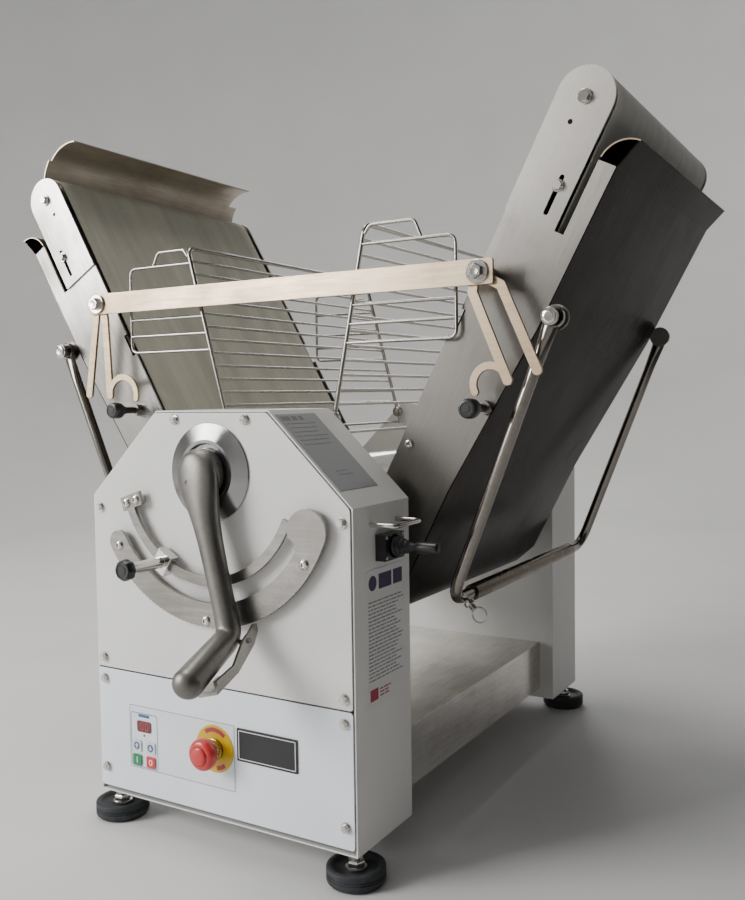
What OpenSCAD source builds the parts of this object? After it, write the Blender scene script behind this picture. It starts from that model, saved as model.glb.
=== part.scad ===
// Tabletop dough sheeter with two folding conveyor tables.
// Working frame: x across the front, y from the front cover back, z up from the cabinet's bottom edge.
// Every node is finally set down so that the feet stand on z = 0 and the box is centred.

/* [Cabinets] */
// Width of both cabinets
cab_w = 410; // [400:5:420]
// Height of the cabinets without their feet
cab_h = 514; // [510:1:520]
// Width of the slanted top corners
chamfer_x = 116; // [110:1:120]
// Height of the slanted top corners
chamfer_z = 111.5; // [108:0.5:114]
// Depth of the front cabinet
front_t = 132; // [130:1:134]
// Depth of the rear cabinet
rear_t = 120; // [116:1:124]
// Depth of the whole machine over the two cabinets
total_d = 764; // [760:1:768]
// Height of the levelling feet
foot_h = 39; // [36:1:42]

/* [Rollers] */
// Radius of the two sheeting rollers
roller_r = 40; // [38:0.5:40]
// Height of the lower sheeting roller's axis
lower_z = 300; // [298:1:300]
// Opening between the sheeting rollers as modelled
nip_gap = 20; // [19:0.5:24]
// Height of the thickness lever's shaft
hub_z = 438; // [436:1:440]

/* [Tables] */
// Distance of each table pivot from the machine's centre plane
pivot_x = 152; // [151:0.5:153]
// Height of the table pivots
pivot_z = 282; // [281:0.5:283]
// Angle of the folded right table above horizontal
fold_right = 62.5; // [62:0.5:63]
// Angle of the folded left table above horizontal
fold_left = 60; // [59.5:0.5:60.5]
// Distance from the table pivot to the nose roller
nose_u = 638; // [630:1:642]
// Radius of the table rollers
belt_roller_r = 32; // [31:0.5:32]
// Width of the conveyor belts
belt_w = 456; // [450:1:460]

/* [Guards] */
// Distance of each guard pivot from the centre plane
guard_x = 90; // [89:0.5:91]
// Height of the guard pivots
guard_z = 500; // [499:0.5:501]
// Lean of the raised right guard
lean_right = 11.6; // [11:0.2:12]
// Lean of the raised left guard
lean_left = 15; // [14.6:0.2:15.2]
// Length of the guards from their pivot
guard_len = 252; // [248:1:254]

/* [Lever] */
// Angle of the thickness lever from the x axis
lever_angle = -74.5; // [-78:0.5:-70]
// Length of the lever's arm
arm_len = 196; // [195:0.5:198]
// Length of the lever's grip
grip_len = 92; // [88:1:94]
// Angle between the grip and the shaft
grip_lean = 22; // [20:1:24]

/* [Hidden] */
$fn = 48;

// Place of the working frame in the finished part
centre = [12, -320.5, foot_h];
// Sheet and running clearances
sheet_t = 2;
run = 0.05;
wall_play = 0.3;
// Share by which ball-shaped bends stand proud of their rods
proud = 1.04;
half_w = cab_w / 2;
inner_front = front_t;
inner_rear = total_d - rear_t;
seam_z = 170;
cover_low = 8;
// Bolt places on the covers, as x and z
cover_bolt_at = [[56, 503], [191, 386], [191, 184], [191, 155], [191, 34]];
foot_x = 189;
foot_in = 23;
// Sheeting rollers
upper_z = lower_z + 2 * roller_r + nip_gap;
journal_r = 12;
// Planes of the table side plates
plate_front = 150;
plate_rear = total_d - 138;
plate_t = 3;
belt_mid = (plate_front + plate_rear) / 2;
table_roller_w = 22;
drive_u = 22;
table_shaft_r = 8;
table_pin_r = 10;
lug = [407, -58];
lug_pin_r = 6;
// Folding link bar: pins measured from the centre, planes from front to back
bar_x = 308.7;
bar_z = 671;
bar_y = 115;
bar_t = 4;
hook_y = 119.5;
bar_pin_r = 6;
knob_at_right = [303, 513];
knob_at_left = [265, 513];
knob_stem_r = 5;
// Index sector planes
sector_y = -12;
sector_t = 5;
guard_front = 143;
guard_rear = total_d - 131;
guard_pin_r = 4;
joystick_at = [half_w, 72, 352];
// Height of the joystick's pivot ball above the cabinet's side
joystick_ball = 9;
estop_at = [-2, 92];

module set_down() translate(centre) children();

// Turns a drawing in x and z into a solid between two y planes
module slab(y0, y1) translate([0, y1, 0]) rotate([90, 0, 0]) linear_extrude(y1 - y0) children();

// Cylinder parallel to y
module rod_y(x, z, y0, y1, r) translate([x, y0, z]) rotate([-90, 0, 0]) cylinder(r = r, h = y1 - y0);

// Straight rod between two points
module rod(a, b, r) {
    d = b - a;
    translate(a) rotate([0, acos(d[2] / norm(d)), atan2(d[1], d[0])]) cylinder(r = r, h = norm(d));
}

// Rod along a list of points with ball-shaped bends, which stand a little proud of the rod
module bent_rod(points, r) {
    for (i = [0 : len(points) - 2]) rod(points[i], points[i + 1], r);
    for (i = [1 : len(points) - 2]) translate(points[i]) sphere(r = r * proud);
}

// Hexagonal head standing on a y plane and reaching towards -y
module hex_head(x, z, y, across, h)
    translate([x, y, z]) rotate([90, 0, 0]) cylinder(r = across / 2 / cos(30), h = h, $fn = 6);

// Bolt head with its washer on a y plane
module bolt_on(x, z, y, across) {
    rod_y(x, z, y - 1.5, y, across * 0.75);
    hex_head(x, z, y - 1.5, across, across * 0.45);
}

// A point given in table lengths, placed in the working frame
function on_table(u, w, fold) =
    [pivot_x + u * cos(fold) - w * sin(fold), pivot_z + u * sin(fold) + w * cos(fold)];

// Table lengths of a point in the working frame
function table_u(p, fold) = (p[0] - pivot_x) * cos(fold) + (p[1] - pivot_z) * sin(fold);
function table_w(p, fold) = (p[1] - pivot_z) * cos(fold) - (p[0] - pivot_x) * sin(fold);

module at_right() set_down() translate([pivot_x, 0, pivot_z]) rotate([0, -fold_right, 0]) children();

module at_left() set_down() mirror([1, 0, 0])
    translate([pivot_x, 0, pivot_z]) rotate([0, -fold_left, 0]) children();

// ---------------------------------------------------------------- cabinets

// End outline of a cabinet, moved inwards by an amount
module cab_outline(inset) {
    slope = norm([chamfer_x, chamfer_z]);
    side = half_w - inset;
    corner_z = cab_h - chamfer_z - inset * (1 - chamfer_z / slope) / (chamfer_x / slope);
    corner_x = half_w - chamfer_x - inset * (1 - chamfer_x / slope) / (chamfer_z / slope);
    polygon([[-side, inset], [side, inset], [side, corner_z], [corner_x, cab_h - inset],
        [-corner_x, cab_h - inset], [-side, corner_z]]);
}

// Openings for the roller journals and the pins in a wall that faces the gap
module wall_openings(y0, y1) {
    rod_y(0, lower_z, y0, y1, journal_r + 2);
    slab(y0, y1) for (z = [upper_z - 20, upper_z + 20]) translate([0, z]) circle(r = journal_r + 2);
    translate([-journal_r - 2, y0, upper_z - 20]) cube([2 * journal_r + 4, y1 - y0, 40]);
    for (x = [-pivot_x, pivot_x]) rod_y(x, pivot_z, y0, y1, table_pin_r + wall_play);
    for (x = [-guard_x, guard_x]) rod_y(x, guard_z, y0, y1, guard_pin_r + wall_play);
}

module front_cabinet() color("whitesmoke") set_down() difference() {
    slab(sheet_t, inner_front) cab_outline(0);
    slab(sheet_t - 1, inner_front - sheet_t) cab_outline(sheet_t);
    wall_openings(inner_front - 3, inner_front + 1);
    for (x = [-foot_x, foot_x]) translate([x, foot_in, -1]) cylinder(r = 6, h = 4);
}

module rear_cabinet() color("whitesmoke") set_down() difference() {
    slab(inner_rear, total_d - sheet_t) cab_outline(0);
    slab(inner_rear + sheet_t, total_d - sheet_t + 1) cab_outline(sheet_t);
    wall_openings(inner_rear - 1, inner_rear + 3);
    for (x = [-foot_x, foot_x]) translate([x, total_d - foot_in, -1]) cylinder(r = 6, h = 4);
}

module front_cover() color("white") set_down() difference() {
    slab(0, sheet_t) cab_outline(0.5);
    translate([-half_w, -1, -1]) cube([cab_w, sheet_t + 2, seam_z + 2]);
    rod_y(0, hub_z, -1, sheet_t + 1, 30);
}

module control_panel() color("white") set_down() intersection() {
    slab(0, sheet_t) cab_outline(0.5);
    translate([-half_w, -1, cover_low]) cube([cab_w, sheet_t + 2, seam_z - 1 - cover_low]);
}

module rear_cover() color("white") set_down() slab(total_d - sheet_t, total_d) difference() {
    cab_outline(0.5);
    // Ventilation slots
    for (x = [-60 : 20 : 60]) translate([x - 3, 60]) square([6, 70]);
}

// Folded stainless channel that joins the cabinets
module base_channel() color("silver") set_down()
    slab(inner_front, inner_rear) polygon([[-182, 17], [-182, 98], [182, 98], [182, 17],
        [150, 17], [150, 19], [180, 19], [180, 96], [-180, 96], [-180, 19], [-150, 19], [-150, 17]]);

module cover_bolts() color("gainsboro") set_down() {
    for (s = [-1, 1], p = cover_bolt_at) bolt_on(s * p[0], p[1], 0, 9);
    for (s = [-1, 1], p = cover_bolt_at) translate([0, total_d, 0]) mirror([0, 1, 0])
        bolt_on(s * p[0], p[1], 0, 9);
}

module foot_studs() color("silver") set_down()
    for (x = [-foot_x, foot_x], y = [foot_in, total_d - foot_in]) translate([x, y, -20]) {
        cylinder(r = 6, h = 42);
        cylinder(r = 11, h = 8, $fn = 6);
        translate([0, 0, 22]) cylinder(r = 10, h = 7, $fn = 6);
    }

module foot_pads() color("dimgray") set_down()
    for (x = [-foot_x, foot_x], y = [foot_in, total_d - foot_in]) translate([x, y, -foot_h])
        rotate_extrude() polygon([[0, 0], [32, 0], [35.5, 4], [35.5, 19], [33, 21.5], [29, 21.5],
            [26, 17], [0, 15]]);

module bearing_blocks() color("slategray") set_down() for (y = [inner_front - 24, inner_rear + 4])
    difference() {
        union() {
            translate([-34, y, lower_z - 30]) cube([68, 20, 60]);
            for (s = [-1, 1]) translate([s * 38 - 4, y, lower_z - 30]) cube([8, 20, 200]);
        }
        rod_y(0, lower_z, y - 1, y + 21, journal_r + run);
    }

// Dough guide plates and the scrapers of the lower roller
module scrapers() color("silver") set_down() for (s = [0, 1]) mirror([s, 0, 0]) {
    translate([46, inner_front, 333]) cube([42, inner_rear - inner_front, 2]);
    rod_y(64, 262, inner_front, inner_rear, 6);
    difference() {
        translate([64, inner_front + 6, 262]) rotate([0, -48, 0]) translate([-20.5, 0, 5])
            mirror([1, 0, 0]) cube([18, inner_rear - inner_front - 12, 2]);
        rod_y(0, lower_z, inner_front, inner_rear, roller_r + 0.5);
    }
}

module drive_motor() color("slategray") set_down() translate([0, inner_rear + 60, 90]) {
    rotate([0, 90, 0]) translate([0, 0, -110]) cylinder(r = 50, h = 200);
    rotate([0, 90, 0]) translate([0, 0, 90]) cylinder(r = 12, h = 34);
    translate([-70, -30, 44]) cube([80, 60, 34]);
    translate([-90, -40, -88]) cube([160, 80, 42]);
}

module pivot_pins() color("silver") set_down() {
    for (x = [-pivot_x, pivot_x]) {
        rod_y(x, pivot_z, inner_front - 3, plate_front + 5, table_pin_r);
        rod_y(x, pivot_z, inner_front - 12, inner_front - 2, 18);
        rod_y(x, pivot_z, plate_rear - 5, inner_rear + 3, table_pin_r);
        rod_y(x, pivot_z, inner_rear + 2, inner_rear + 12, 18);
    }
    for (x = [-guard_x, guard_x]) {
        rod_y(x, guard_z, inner_front - 3, guard_front + 5, guard_pin_r);
        rod_y(x, guard_z, inner_front - 8, inner_front - 2, 6.5);
        rod_y(x, guard_z, guard_rear - 5, inner_rear + 3, guard_pin_r);
        rod_y(x, guard_z, inner_rear + 2, inner_rear + 8, 6.5);
    }
}

// ---------------------------------------------------------------- rollers

// Roller along y with a journal at each end
module long_roller(r, y0, y1, shaft_r, s0, s1) {
    rod_y(0, 0, y0, y1, r);
    rod_y(0, 0, s0, s1, shaft_r);
}

module lower_roller() color("silver") set_down() translate([0, 0, lower_z])
    long_roller(roller_r, inner_front + 5, inner_rear - 5, journal_r, inner_front - 30, inner_rear + 30);

module upper_roller() color("silver") set_down() translate([0, 0, upper_z])
    long_roller(roller_r, inner_front + 5, inner_rear - 5, journal_r, inner_front - 30, inner_rear + 30);

// Blocks that carry the upper roller between the guide bars
module roller_carriage() color("slategray") set_down() for (y = [inner_front - 24, inner_rear + 4])
    difference() {
        translate([-33.5, y, upper_z - 24]) cube([67, 20, 48]);
        rod_y(0, upper_z, y - 1, y + 21, journal_r + run);
    }

// ---------------------------------------------------------------- lever and index sector

// Wedge between two angles, for cutting rings
module wedge(a0, a1, r) polygon(concat([[0, 0]],
    [for (i = [0 : 8]) let (a = a0 + (a1 - a0) * i / 8) [2 * r * cos(a), 2 * r * sin(a)]]));

module ring(r0, r1, a0, a1) intersection() {
    difference() {
        circle(r = r1, $fn = 180);
        circle(r = r0, $fn = 180);
    }
    wedge(a0, a1, r1);
}

module around_hub(a, r) translate([r * cos(a), r * sin(a)]) children();

sector_bolts = [[-146, 176], [-34.5, 178], [-90.5, 182], [-162, 138], [-162, 121]];

module index_sector() color("silver") set_down() translate([0, 0, hub_z])
    slab(sector_y, sector_y + sector_t) difference() {
        union() {
            difference() {
                ring(160, 190, -147.5, -23);
                // Fine index teeth along the outer edge
                for (a = [-139 : 2 : -45]) rotate(a) translate([191, 0]) rotate(45) square(3, center = true);
            }
            around_hub(-147.5, 175) circle(r = 15);
            ring(127, 139, -162, -23);
            around_hub(-162, 129.5) rotate(-162) square([34, 18], center = true);
            ring(136, 190, -28, -23);
            around_hub(-23, 163) circle(r = 27);
        }
        for (b = sector_bolts) around_hub(b[0], b[1]) circle(r = 4);
        ring(142, 158, -60, -30);
    }

module sector_fixings() color("gainsboro") set_down() translate([0, 0, hub_z])
    for (b = sector_bolts) {
        x = b[1] * cos(b[0]);
        z = b[1] * sin(b[0]);
        rod_y(x, z, sector_y + sector_t, 0, 7);
        rod_y(x, z, sector_y, sector_y + sector_t, 4);
        rod_y(x, z, sector_y - 3, sector_y, 6.5);
    }

module hub_flange() color("gainsboro") set_down() difference() {
    translate([0, 0, hub_z]) rotate([90, 0, 0]) rotate_extrude()
        polygon([[20, 0], [61, 0], [58, 5], [40, 9], [36, 9], [34, 4], [30, 4], [28, 8], [20, 8]]);
    rod_y(0, hub_z, -12, 1, 15);
}

// Lever parts are drawn with x along the arm and z along the direction of travel
module at_lever() set_down() translate([0, 0, hub_z]) rotate([0, -lever_angle, 0]) children();

elbow = [arm_len, -32, 0];
grip_end = elbow + grip_len * [sin(grip_lean), -cos(grip_lean), 0];
trigger_pin = [207, -28];

module lever() color("lightgray") at_lever() {
    rod_y(0, 0, -34, -10, 30);
    hull() {
        translate([18, -27, 0]) sphere(r = 15, $fn = 32);
        translate(elbow) sphere(r = 16, $fn = 32);
    }
    hull() {
        translate(elbow) sphere(r = 15, $fn = 32);
        translate(grip_end) sphere(r = 18, $fn = 32);
    }
    translate([trigger_pin[0], trigger_pin[1], 8]) cylinder(r = 3, h = 17);
}

module lever_shaft() color("silver") set_down() {
    rod_y(0, hub_z, -10, 84, 11);
    rod_y(8, hub_z, 84, 98, 22);
}

module trigger() color("silver") at_lever() {
    difference() {
        translate([0, 0, 18.5]) linear_extrude(4) polygon([[190.6, -12.5], [190.6, -7], [200, -7],
            [214, -20], [238, -58], [247, -96], [237, -96], [228, -62], [204, -36], [198, -24]]);
        translate([trigger_pin[0], trigger_pin[1], 18]) cylinder(r = 3 + run, h = 6);
    }
    // Finger pad under the grip
    translate([0, 0, -9]) linear_extrude(27.5) polygon([[237, -60], [240, -60], [252, -96], [248, -96]]);
    translate([0, 0, 17.5]) linear_extrude(2) polygon([[228, -62], [240, -60], [252, -96], [237, -96]]);
}

module at_clamp() set_down() translate([0, 0, hub_z]) rotate([0, 121, 0]) children();

module stop_clamp() color("silver") at_clamp() difference() {
    union() {
        translate([119, -18, -12]) cube([28, 14.5, 24]);
        rod_y(133, 0, -70, -18, 7);
    }
    slab(sector_y - 0.3, sector_y + sector_t + 0.3) difference() {
        circle(r = 139.4, $fn = 180);
        circle(r = 126.6, $fn = 180);
    }
}

module stop_knob() color("dimgray") at_clamp() {
    rod_y(133, 0, -84, -70.2, 12);
    for (i = [0 : 7]) translate([133, 0, 0]) rotate([0, i * 45, 0]) rod_y(11.5, 0, -82, -72, 2);
}

// ---------------------------------------------------------------- controls

module label_plates() color("lightgray") set_down() {
    difference() {
        translate([-142, -1, 42]) cube([172, 1, 85]);
        for (x = [-142.5, -118.5], z = [46, 65]) translate([x, -2, z]) cube([17, 3, 16]);
        translate([-135, -2, 91]) cube([27, 3, 17]);
        rod_y(estop_at[0], estop_at[1], -2, 1, 31);
    }
    slope = atan2(chamfer_z, chamfer_x);
    translate([half_w - chamfer_x, 0, cab_h]) rotate([0, slope, 0]) translate([8, 7, 0]) cube([126, 83, 0.6]);
    translate([half_w, 27, 164]) cube([0.6, 93, 163]);
}

module display_window() color("darkred") set_down() translate([-134, -1.4, 92]) cube([25, 1.4, 15]);

module brand_plate() color("dimgray") set_down() translate([34, -1.6, 84]) cube([91, 1.6, 41]);

module key_pad(x, z) translate([x - 8, -2.2, z - 7.5]) cube([15.5, 1.3, 15]);

module button_up() color("lightsteelblue") set_down() key_pad(-134, 73);
module button_down() color("lightsteelblue") set_down() key_pad(-110, 73);
module button_start() color("seagreen") set_down() key_pad(-134, 54);
module button_stop() color("crimson") set_down() key_pad(-110, 54);

module estop_disc() color("gold") set_down() difference() {
    rod_y(estop_at[0], estop_at[1], -1.5, 0, 30);
    rod_y(estop_at[0], estop_at[1], -2, 1, 14);
}

module estop_collar() color("peru") set_down() difference() {
    rod_y(estop_at[0], estop_at[1], -12, 0, 14);
    rod_y(estop_at[0], estop_at[1], -13, 1, 8 + run);
}

module estop_button() color("crimson") set_down() translate([estop_at[0], 0, estop_at[1]]) {
    rod_y(0, 0, -20, -6, 8);
    rotate([90, 0, 0]) rotate_extrude() polygon([[0, 17], [15, 17], [19.5, 20], [20, 24], [18, 29],
        [12, 32.5], [0, 34]]);
}

module side_handle() color("silver") set_down() for (y = [39, 100]) {
    rod([half_w, y, 380], [half_w + 34, y, 380], 3);
    rod([half_w + 34, 39, 380], [half_w + 34, 100, 380], 3);
    translate([half_w + 34, y, 380]) sphere(r = 3);
}

module joystick_housing() color("dimgray") set_down() difference() {
    translate([half_w, 50, 336]) cube([14, 45, 31]);
    translate([half_w + 2, joystick_at[1], joystick_at[2]]) rotate([0, 90, 0]) cylinder(r = 14, h = 20);
}

module joystick() color("dimgray") set_down() translate(joystick_at) rotate([0, 90, 0]) {
    translate([0, 0, joystick_ball]) rotate([20, 30, 0]) sphere(r = 6);
    // Hinge pin through the ball
    translate([-9, 0, joystick_ball]) rotate([0, 90, 0]) cylinder(r = 2.5, h = 18);
    translate([0, 0, joystick_ball]) cylinder(r = 4.5, h = 48);
    // Pleated boot
    translate([0, 0, 17]) rotate_extrude() polygon(concat([[0, 0]],
        [for (i = [0 : 8]) [13 - i * 0.6 - (i % 2) * 2.2, i * 2.5]], [[0, 20]]));
    translate([0, 0, 44]) rotate_extrude() polygon([[0, 0], [6, 0], [7, 2], [7, 25], [6, 27.5], [0, 28]]);
}

// ---------------------------------------------------------------- folding tables

module plate_outline() difference() {
    union() {
        polygon([[-15, -20], [0, -28], [160, -28], [389, -43], [582, -45], [582, -23], [493, -23],
            [493, 56], [367, 56], [367, 50], [331, 50], [331, 58], [-8, 58], [-15, 50]]);
        translate(lug) circle(r = 15);
        children();
    }
    circle(r = table_pin_r + run);
    translate([drive_u, table_roller_w]) circle(r = table_shaft_r + run);
    translate([186, 46]) circle(r = 3);
}

// Adjustable end plate with the tension slot
module nose_outline() difference() {
    union() {
        translate([nose_u, table_roller_w]) circle(r = 34.5);
        polygon([[493, -12], [nose_u, -12.5], [nose_u, 56.5], [493, 56.5]]);
    }
    translate([nose_u, table_roller_w]) circle(r = table_shaft_r + run);
    translate([508, 4]) square([42, 6]);
    for (u = [508, 550]) translate([u, 7]) circle(r = 3);
    translate([608, 26]) circle(r = 3);
}

// One side of the table: main plate, nose plate, lug pin and studs
module table_side(knob, bar_at, pin_len) {
    difference() {
        union() {
            slab(plate_front, plate_front + plate_t) plate_outline() translate(bar_at) circle(r = 13);
            slab(plate_front - 3, plate_front) nose_outline();
            rod_y(knob[0], knob[1], plate_front - 10, plate_front, 9);
            rod_y(bar_at[0], bar_at[1], plate_front - pin_len, plate_front, 8.5);
        }
        rod_y(knob[0], knob[1], plate_front - 11, plate_front + plate_t + 1, knob_stem_r + run);
    }
    rod_y(lug[0], lug[1], plate_front - 18, plate_front, lug_pin_r);
    rod_y(lug[0], lug[1], plate_front - 22, plate_front - 18, 10);
    rod_y(540, 7, plate_front - 4.5, plate_front - 3, 7);
    hex_head(540, 7, plate_front - 4.5, 10, 4.5);
    rod_y(186, 46, plate_front - 2, plate_front + 1, 6);
}

// The far side has no knob and no bar
module table_side_rear() {
    slab(plate_rear - plate_t, plate_rear) plate_outline() circle(r = 1);
    slab(plate_rear, plate_rear + 3) nose_outline();
    rod_y(lug[0], lug[1], plate_rear, plate_rear + 17, lug_pin_r);
    rod_y(540, 7, plate_rear + 3, plate_rear + 8, 7);
}

knob_right = [table_u(knob_at_right, fold_right), table_w(knob_at_right, fold_right)];
knob_left = [table_u(knob_at_left, fold_left), table_w(knob_at_left, fold_left)];
bar_right = [table_u([bar_x, bar_z], fold_right), table_w([bar_x, bar_z], fold_right)];
bar_left = [table_u([bar_x, bar_z], fold_left), table_w([bar_x, bar_z], fold_left)];

module table_plates_right() color("silver") at_right() {
    table_side(knob_right, bar_right, 18);
    table_side_rear();
}

module table_plates_left() color("silver") at_left() {
    table_side(knob_left, bar_left, 26);
    table_side_rear();
}

// Underside pan with its rolled end, and the bed under the top run of the belt
module table_pan() {
    difference() {
        slab(plate_front, plate_rear) polygon([[-37, -13], [0, -28.2], [160, -28.2], [389, -43.2],
            [582, -45.2], [582, -46.8], [389, -44.8], [160, -29.8], [0, -29.8], [-38, -14.5]]);
        // Notches around the hinge lugs of the side plates
        for (y = [plate_front - 1, plate_rear - plate_t - 0.3])
            rod_y(lug[0], lug[1], y, y + plate_t + 1.3, 15.5);
    }
    slab(plate_front, plate_rear) translate([582, -58]) intersection() {
        difference() {
            circle(r = 35);
            circle(r = 33.4);
        }
        square(36);
    }
    // Flat sheet from the pan to the tip of the rolled end
    slab(plate_front, plate_rear) polygon([[581, -45.2], [581, -46.8], [616.6, -58], [616.6, -56.4]]);
    translate([70, plate_front + plate_t, 51]) cube([520, plate_rear - plate_front - 2 * plate_t, 2.5]);
    for (u = [110, 330, 560]) translate([u, plate_front + plate_t, 36])
        cube([20, plate_rear - plate_front - 2 * plate_t, 15]);
}

module table_pan_right() color("gray") at_right() table_pan();
module table_pan_left() color("gray") at_left() table_pan();

module belt_loop(r) {
    translate([drive_u, table_roller_w]) circle(r = r, $fn = 96);
    translate([nose_u, table_roller_w]) circle(r = r, $fn = 96);
    translate([drive_u, table_roller_w - r]) square([nose_u - drive_u, 2 * r]);
}

module belt() slab(belt_mid - belt_w / 2, belt_mid + belt_w / 2) difference() {
    belt_loop(belt_roller_r + 2.3);
    belt_loop(belt_roller_r + 0.3);
}

module belt_right() color("lightgray") at_right() belt();
module belt_left() color("darkgray") at_left() belt();

module table_roller(u, head) translate([u, 0, table_roller_w]) {
    long_roller(belt_roller_r, plate_front + 10, plate_rear - 10, table_shaft_r,
        plate_front - 4, plate_rear + 4);
    if (head) bolt_on(0, 0, plate_front - 4, 11);
}

module drive_roller_right() color("dimgray") at_right() table_roller(drive_u, false);
module drive_roller_left() color("dimgray") at_left() table_roller(drive_u, false);
module nose_roller_right() color("silver") at_right() table_roller(nose_u, true);
module nose_roller_left() color("silver") at_left() table_roller(nose_u, true);

// U-shaped support tube hinged at the lugs, with a sleeve on its cross bar
support_y0 = 141;
support_y1 = total_d - 129;
// Direction of the lanyard pin in table lengths
pin_tilt = 197.5;

module support_leg(y) {
    rod_y(lug[0], lug[1], y - 4, y + 4, 13);
    rod([lug[0] - 9, y, lug[1] - 1], [43, y, -97], 7.5);
    translate([43, y, -97]) rotate([25, 35, 0]) sphere(r = 7.5 * proud);
}

module support() difference() {
    union() {
        support_leg(support_y0);
        support_leg(support_y1);
        rod_y(43, -97, support_y0, support_y1, 7.5);
        rod_y(43, -97, support_y0 + 60, support_y1 - 60, 10.5);
    }
    for (y = [support_y0, support_y1]) rod_y(lug[0], lug[1], y - 9, y + 9, lug_pin_r + run);
    translate([43, support_y0 + 36, -97]) rotate([0, pin_tilt, 0])
        cylinder(r = 4 + run, h = 40, center = true);
}

module support_right() color("silver") at_right() support();
module support_left() color("silver") at_left() support();

module lanyard_pin() color("gainsboro") at_right()
    translate([43, support_y0 + 36, -97]) rotate([0, pin_tilt, 0]) {
    translate([0, 0, -12]) cylinder(r = 4, h = 34);
    translate([0, 0, 9]) cylinder(r = 7, h = 5);
    translate([0, 0, 31]) rotate([90, 0, 0]) rotate_extrude() translate([10, 0]) circle(r = 1.5, $fn = 24);
}

// Pull knob whose stem locks the table
module table_knob(at) {
    rod_y(at[0], at[1], 112, plate_front + 6, knob_stem_r);
    rod_y(at[0], at[1], 94, 112, 12);
}

module table_knob_right() color("dimgray") at_right() table_knob(knob_right);
module table_knob_left() color("dimgray") at_left() table_knob(knob_left);

// Curved catch tray at the left table's nose
tray_mid = [637, 78];
tray_r = 61;

module tray_arc(a0, a1) translate(tray_mid) intersection() {
    difference() {
        circle(r = tray_r + 1, $fn = 96);
        circle(r = tray_r - 1, $fn = 96);
    }
    wedge(a0, a1, tray_r);
}

module end_tray() color("tan") at_left() {
    slab(160, total_d - 166) tray_arc(-50, 34);
    slab(155, total_d - 143) tray_arc(-50, -22);
    for (y = [155, total_d - 145]) slab(y, y + 2) difference() {
        union() {
            translate([nose_u, table_roller_w]) circle(r = 14);
            polygon([[nose_u, table_roller_w - 14], [677, 32], [nose_u, 36]]);
        }
        translate([nose_u, table_roller_w]) circle(r = table_shaft_r + run);
    }
}

// ---------------------------------------------------------------- folding link

module link_bar() color("silver") set_down() slab(bar_y, bar_y + bar_t) difference() {
    translate([-325, bar_z - 15]) square([653, 30]);
    for (x = [-bar_x, bar_x]) translate([x, bar_z]) circle(r = bar_pin_r + run);
}

// Pin on the left table that carries the bar and the left hook
module bar_pin() color("gainsboro") set_down() {
    rod_y(-bar_x, bar_z, bar_y - 1, plate_front - 26, bar_pin_r);
    rod_y(-bar_x, bar_z, bar_y - 3.5, bar_y - 0.5, 14);
    hex_head(-bar_x, bar_z, bar_y - 3.5, 16, 8);
}

module bar_bolt() color("gainsboro") set_down() {
    rod_y(bar_x, bar_z, bar_y - 1, hook_y + 8, bar_pin_r);
    rod_y(bar_x, bar_z, bar_y - 2.5, bar_y, 14);
    hex_head(bar_x, bar_z, bar_y - 2.5, 16, 8);
    rod_y(bar_x, bar_z, hook_y + 4.4, hook_y + 9, 10);
}

// Flat leg between two points with round ends
module leg(a, b, w) {
    d = b - a;
    translate(a) rotate(atan2(d[1], d[0])) translate([0, -w / 2]) square([norm(d), w]);
    translate(b) circle(r = w / 2 * 1.02);
}

// Cane-shaped hook: arc over the knob stem, then a short tip
module cane(mid, r, a0, a1, w) {
    translate(mid) intersection() {
        difference() {
            circle(r = r + w / 2);
            circle(r = r - w / 2);
        }
        wedge(a0, a1, r + w);
    }
    translate(mid + r * [cos(a0), sin(a0)]) circle(r = w / 2 * 1.03);
    translate(mid + r * [cos(a1), sin(a1)]) circle(r = w / 2 * 1.03);
}

module hook_plate(top, legs) difference() {
    union() {
        translate(top) circle(r = 15);
        for (l = legs) leg(l[0], l[1], 12);
        children();
    }
    translate(top) circle(r = bar_pin_r + run);
}

module hook_right() color("silver") set_down() slab(hook_y, hook_y + 4)
    hook_plate([bar_x, bar_z], [[[302, 664], [300, 648]], [[300, 648], [343, 545]],
        [[318, 664], [336, 654]], [[336, 654], [379, 556]]])
        cane([321.5, 541], 21.5, 10, 205, 9);

module hook_left() color("silver") set_down() slab(hook_y, hook_y + 4)
    hook_plate([-bar_x, bar_z], [[[-302, 664], [-300, 646]], [[-300, 646], [-294, 536]],
        [[-316, 664], [-319, 648]], [[-319, 648], [-337, 538]]])
        cane([-267, 536], 26, -12, 180, 9);

// ---------------------------------------------------------------- wire guards

// Guard in the plane of its frame: v runs up the frame, h outwards
module guard(lean) {
    panel_x = 268;
    top = guard_z + guard_len * cos(lean);
    frame_x = guard_x + guard_len * sin(lean);
    levels = [598, 622, 646, 685, 722];
    for (y = [guard_front, guard_rear]) {
        difference() {
            union() {
                rod_y(guard_x, guard_z, y - 3.5, y + 3.5, 9);
                rod([guard_x - 22 * sin(lean), y, guard_z - 22 * cos(lean)], [frame_x, y, top], 3);
            }
            rod_y(guard_x, guard_z, y - 5, y + 5, guard_pin_r + run);
        }
        for (z = levels) {
            at = guard_x + (z - guard_z) * tan(lean);
            rod([at, y, z], [panel_x, y, z], 2.2);
            translate([panel_x, y, z]) sphere(r = 2.2 * proud);
        }
        rod([panel_x, y, levels[0]], [panel_x, y, levels[4]], 2.2);
        bent_rod([[frame_x, y, top], [212, y, top], [222, y, levels[4]]], 2.2);
        translate([frame_x, y, top]) sphere(r = 3 * proud);
    }
    for (i = [-1 : 13]) if (i != 0) {
        v = i * guard_len / 13;
        rod_y(guard_x + v * sin(lean), guard_z + v * cos(lean), guard_front, guard_rear, i == 13 ? 3 : 1.9);
    }
}

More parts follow.
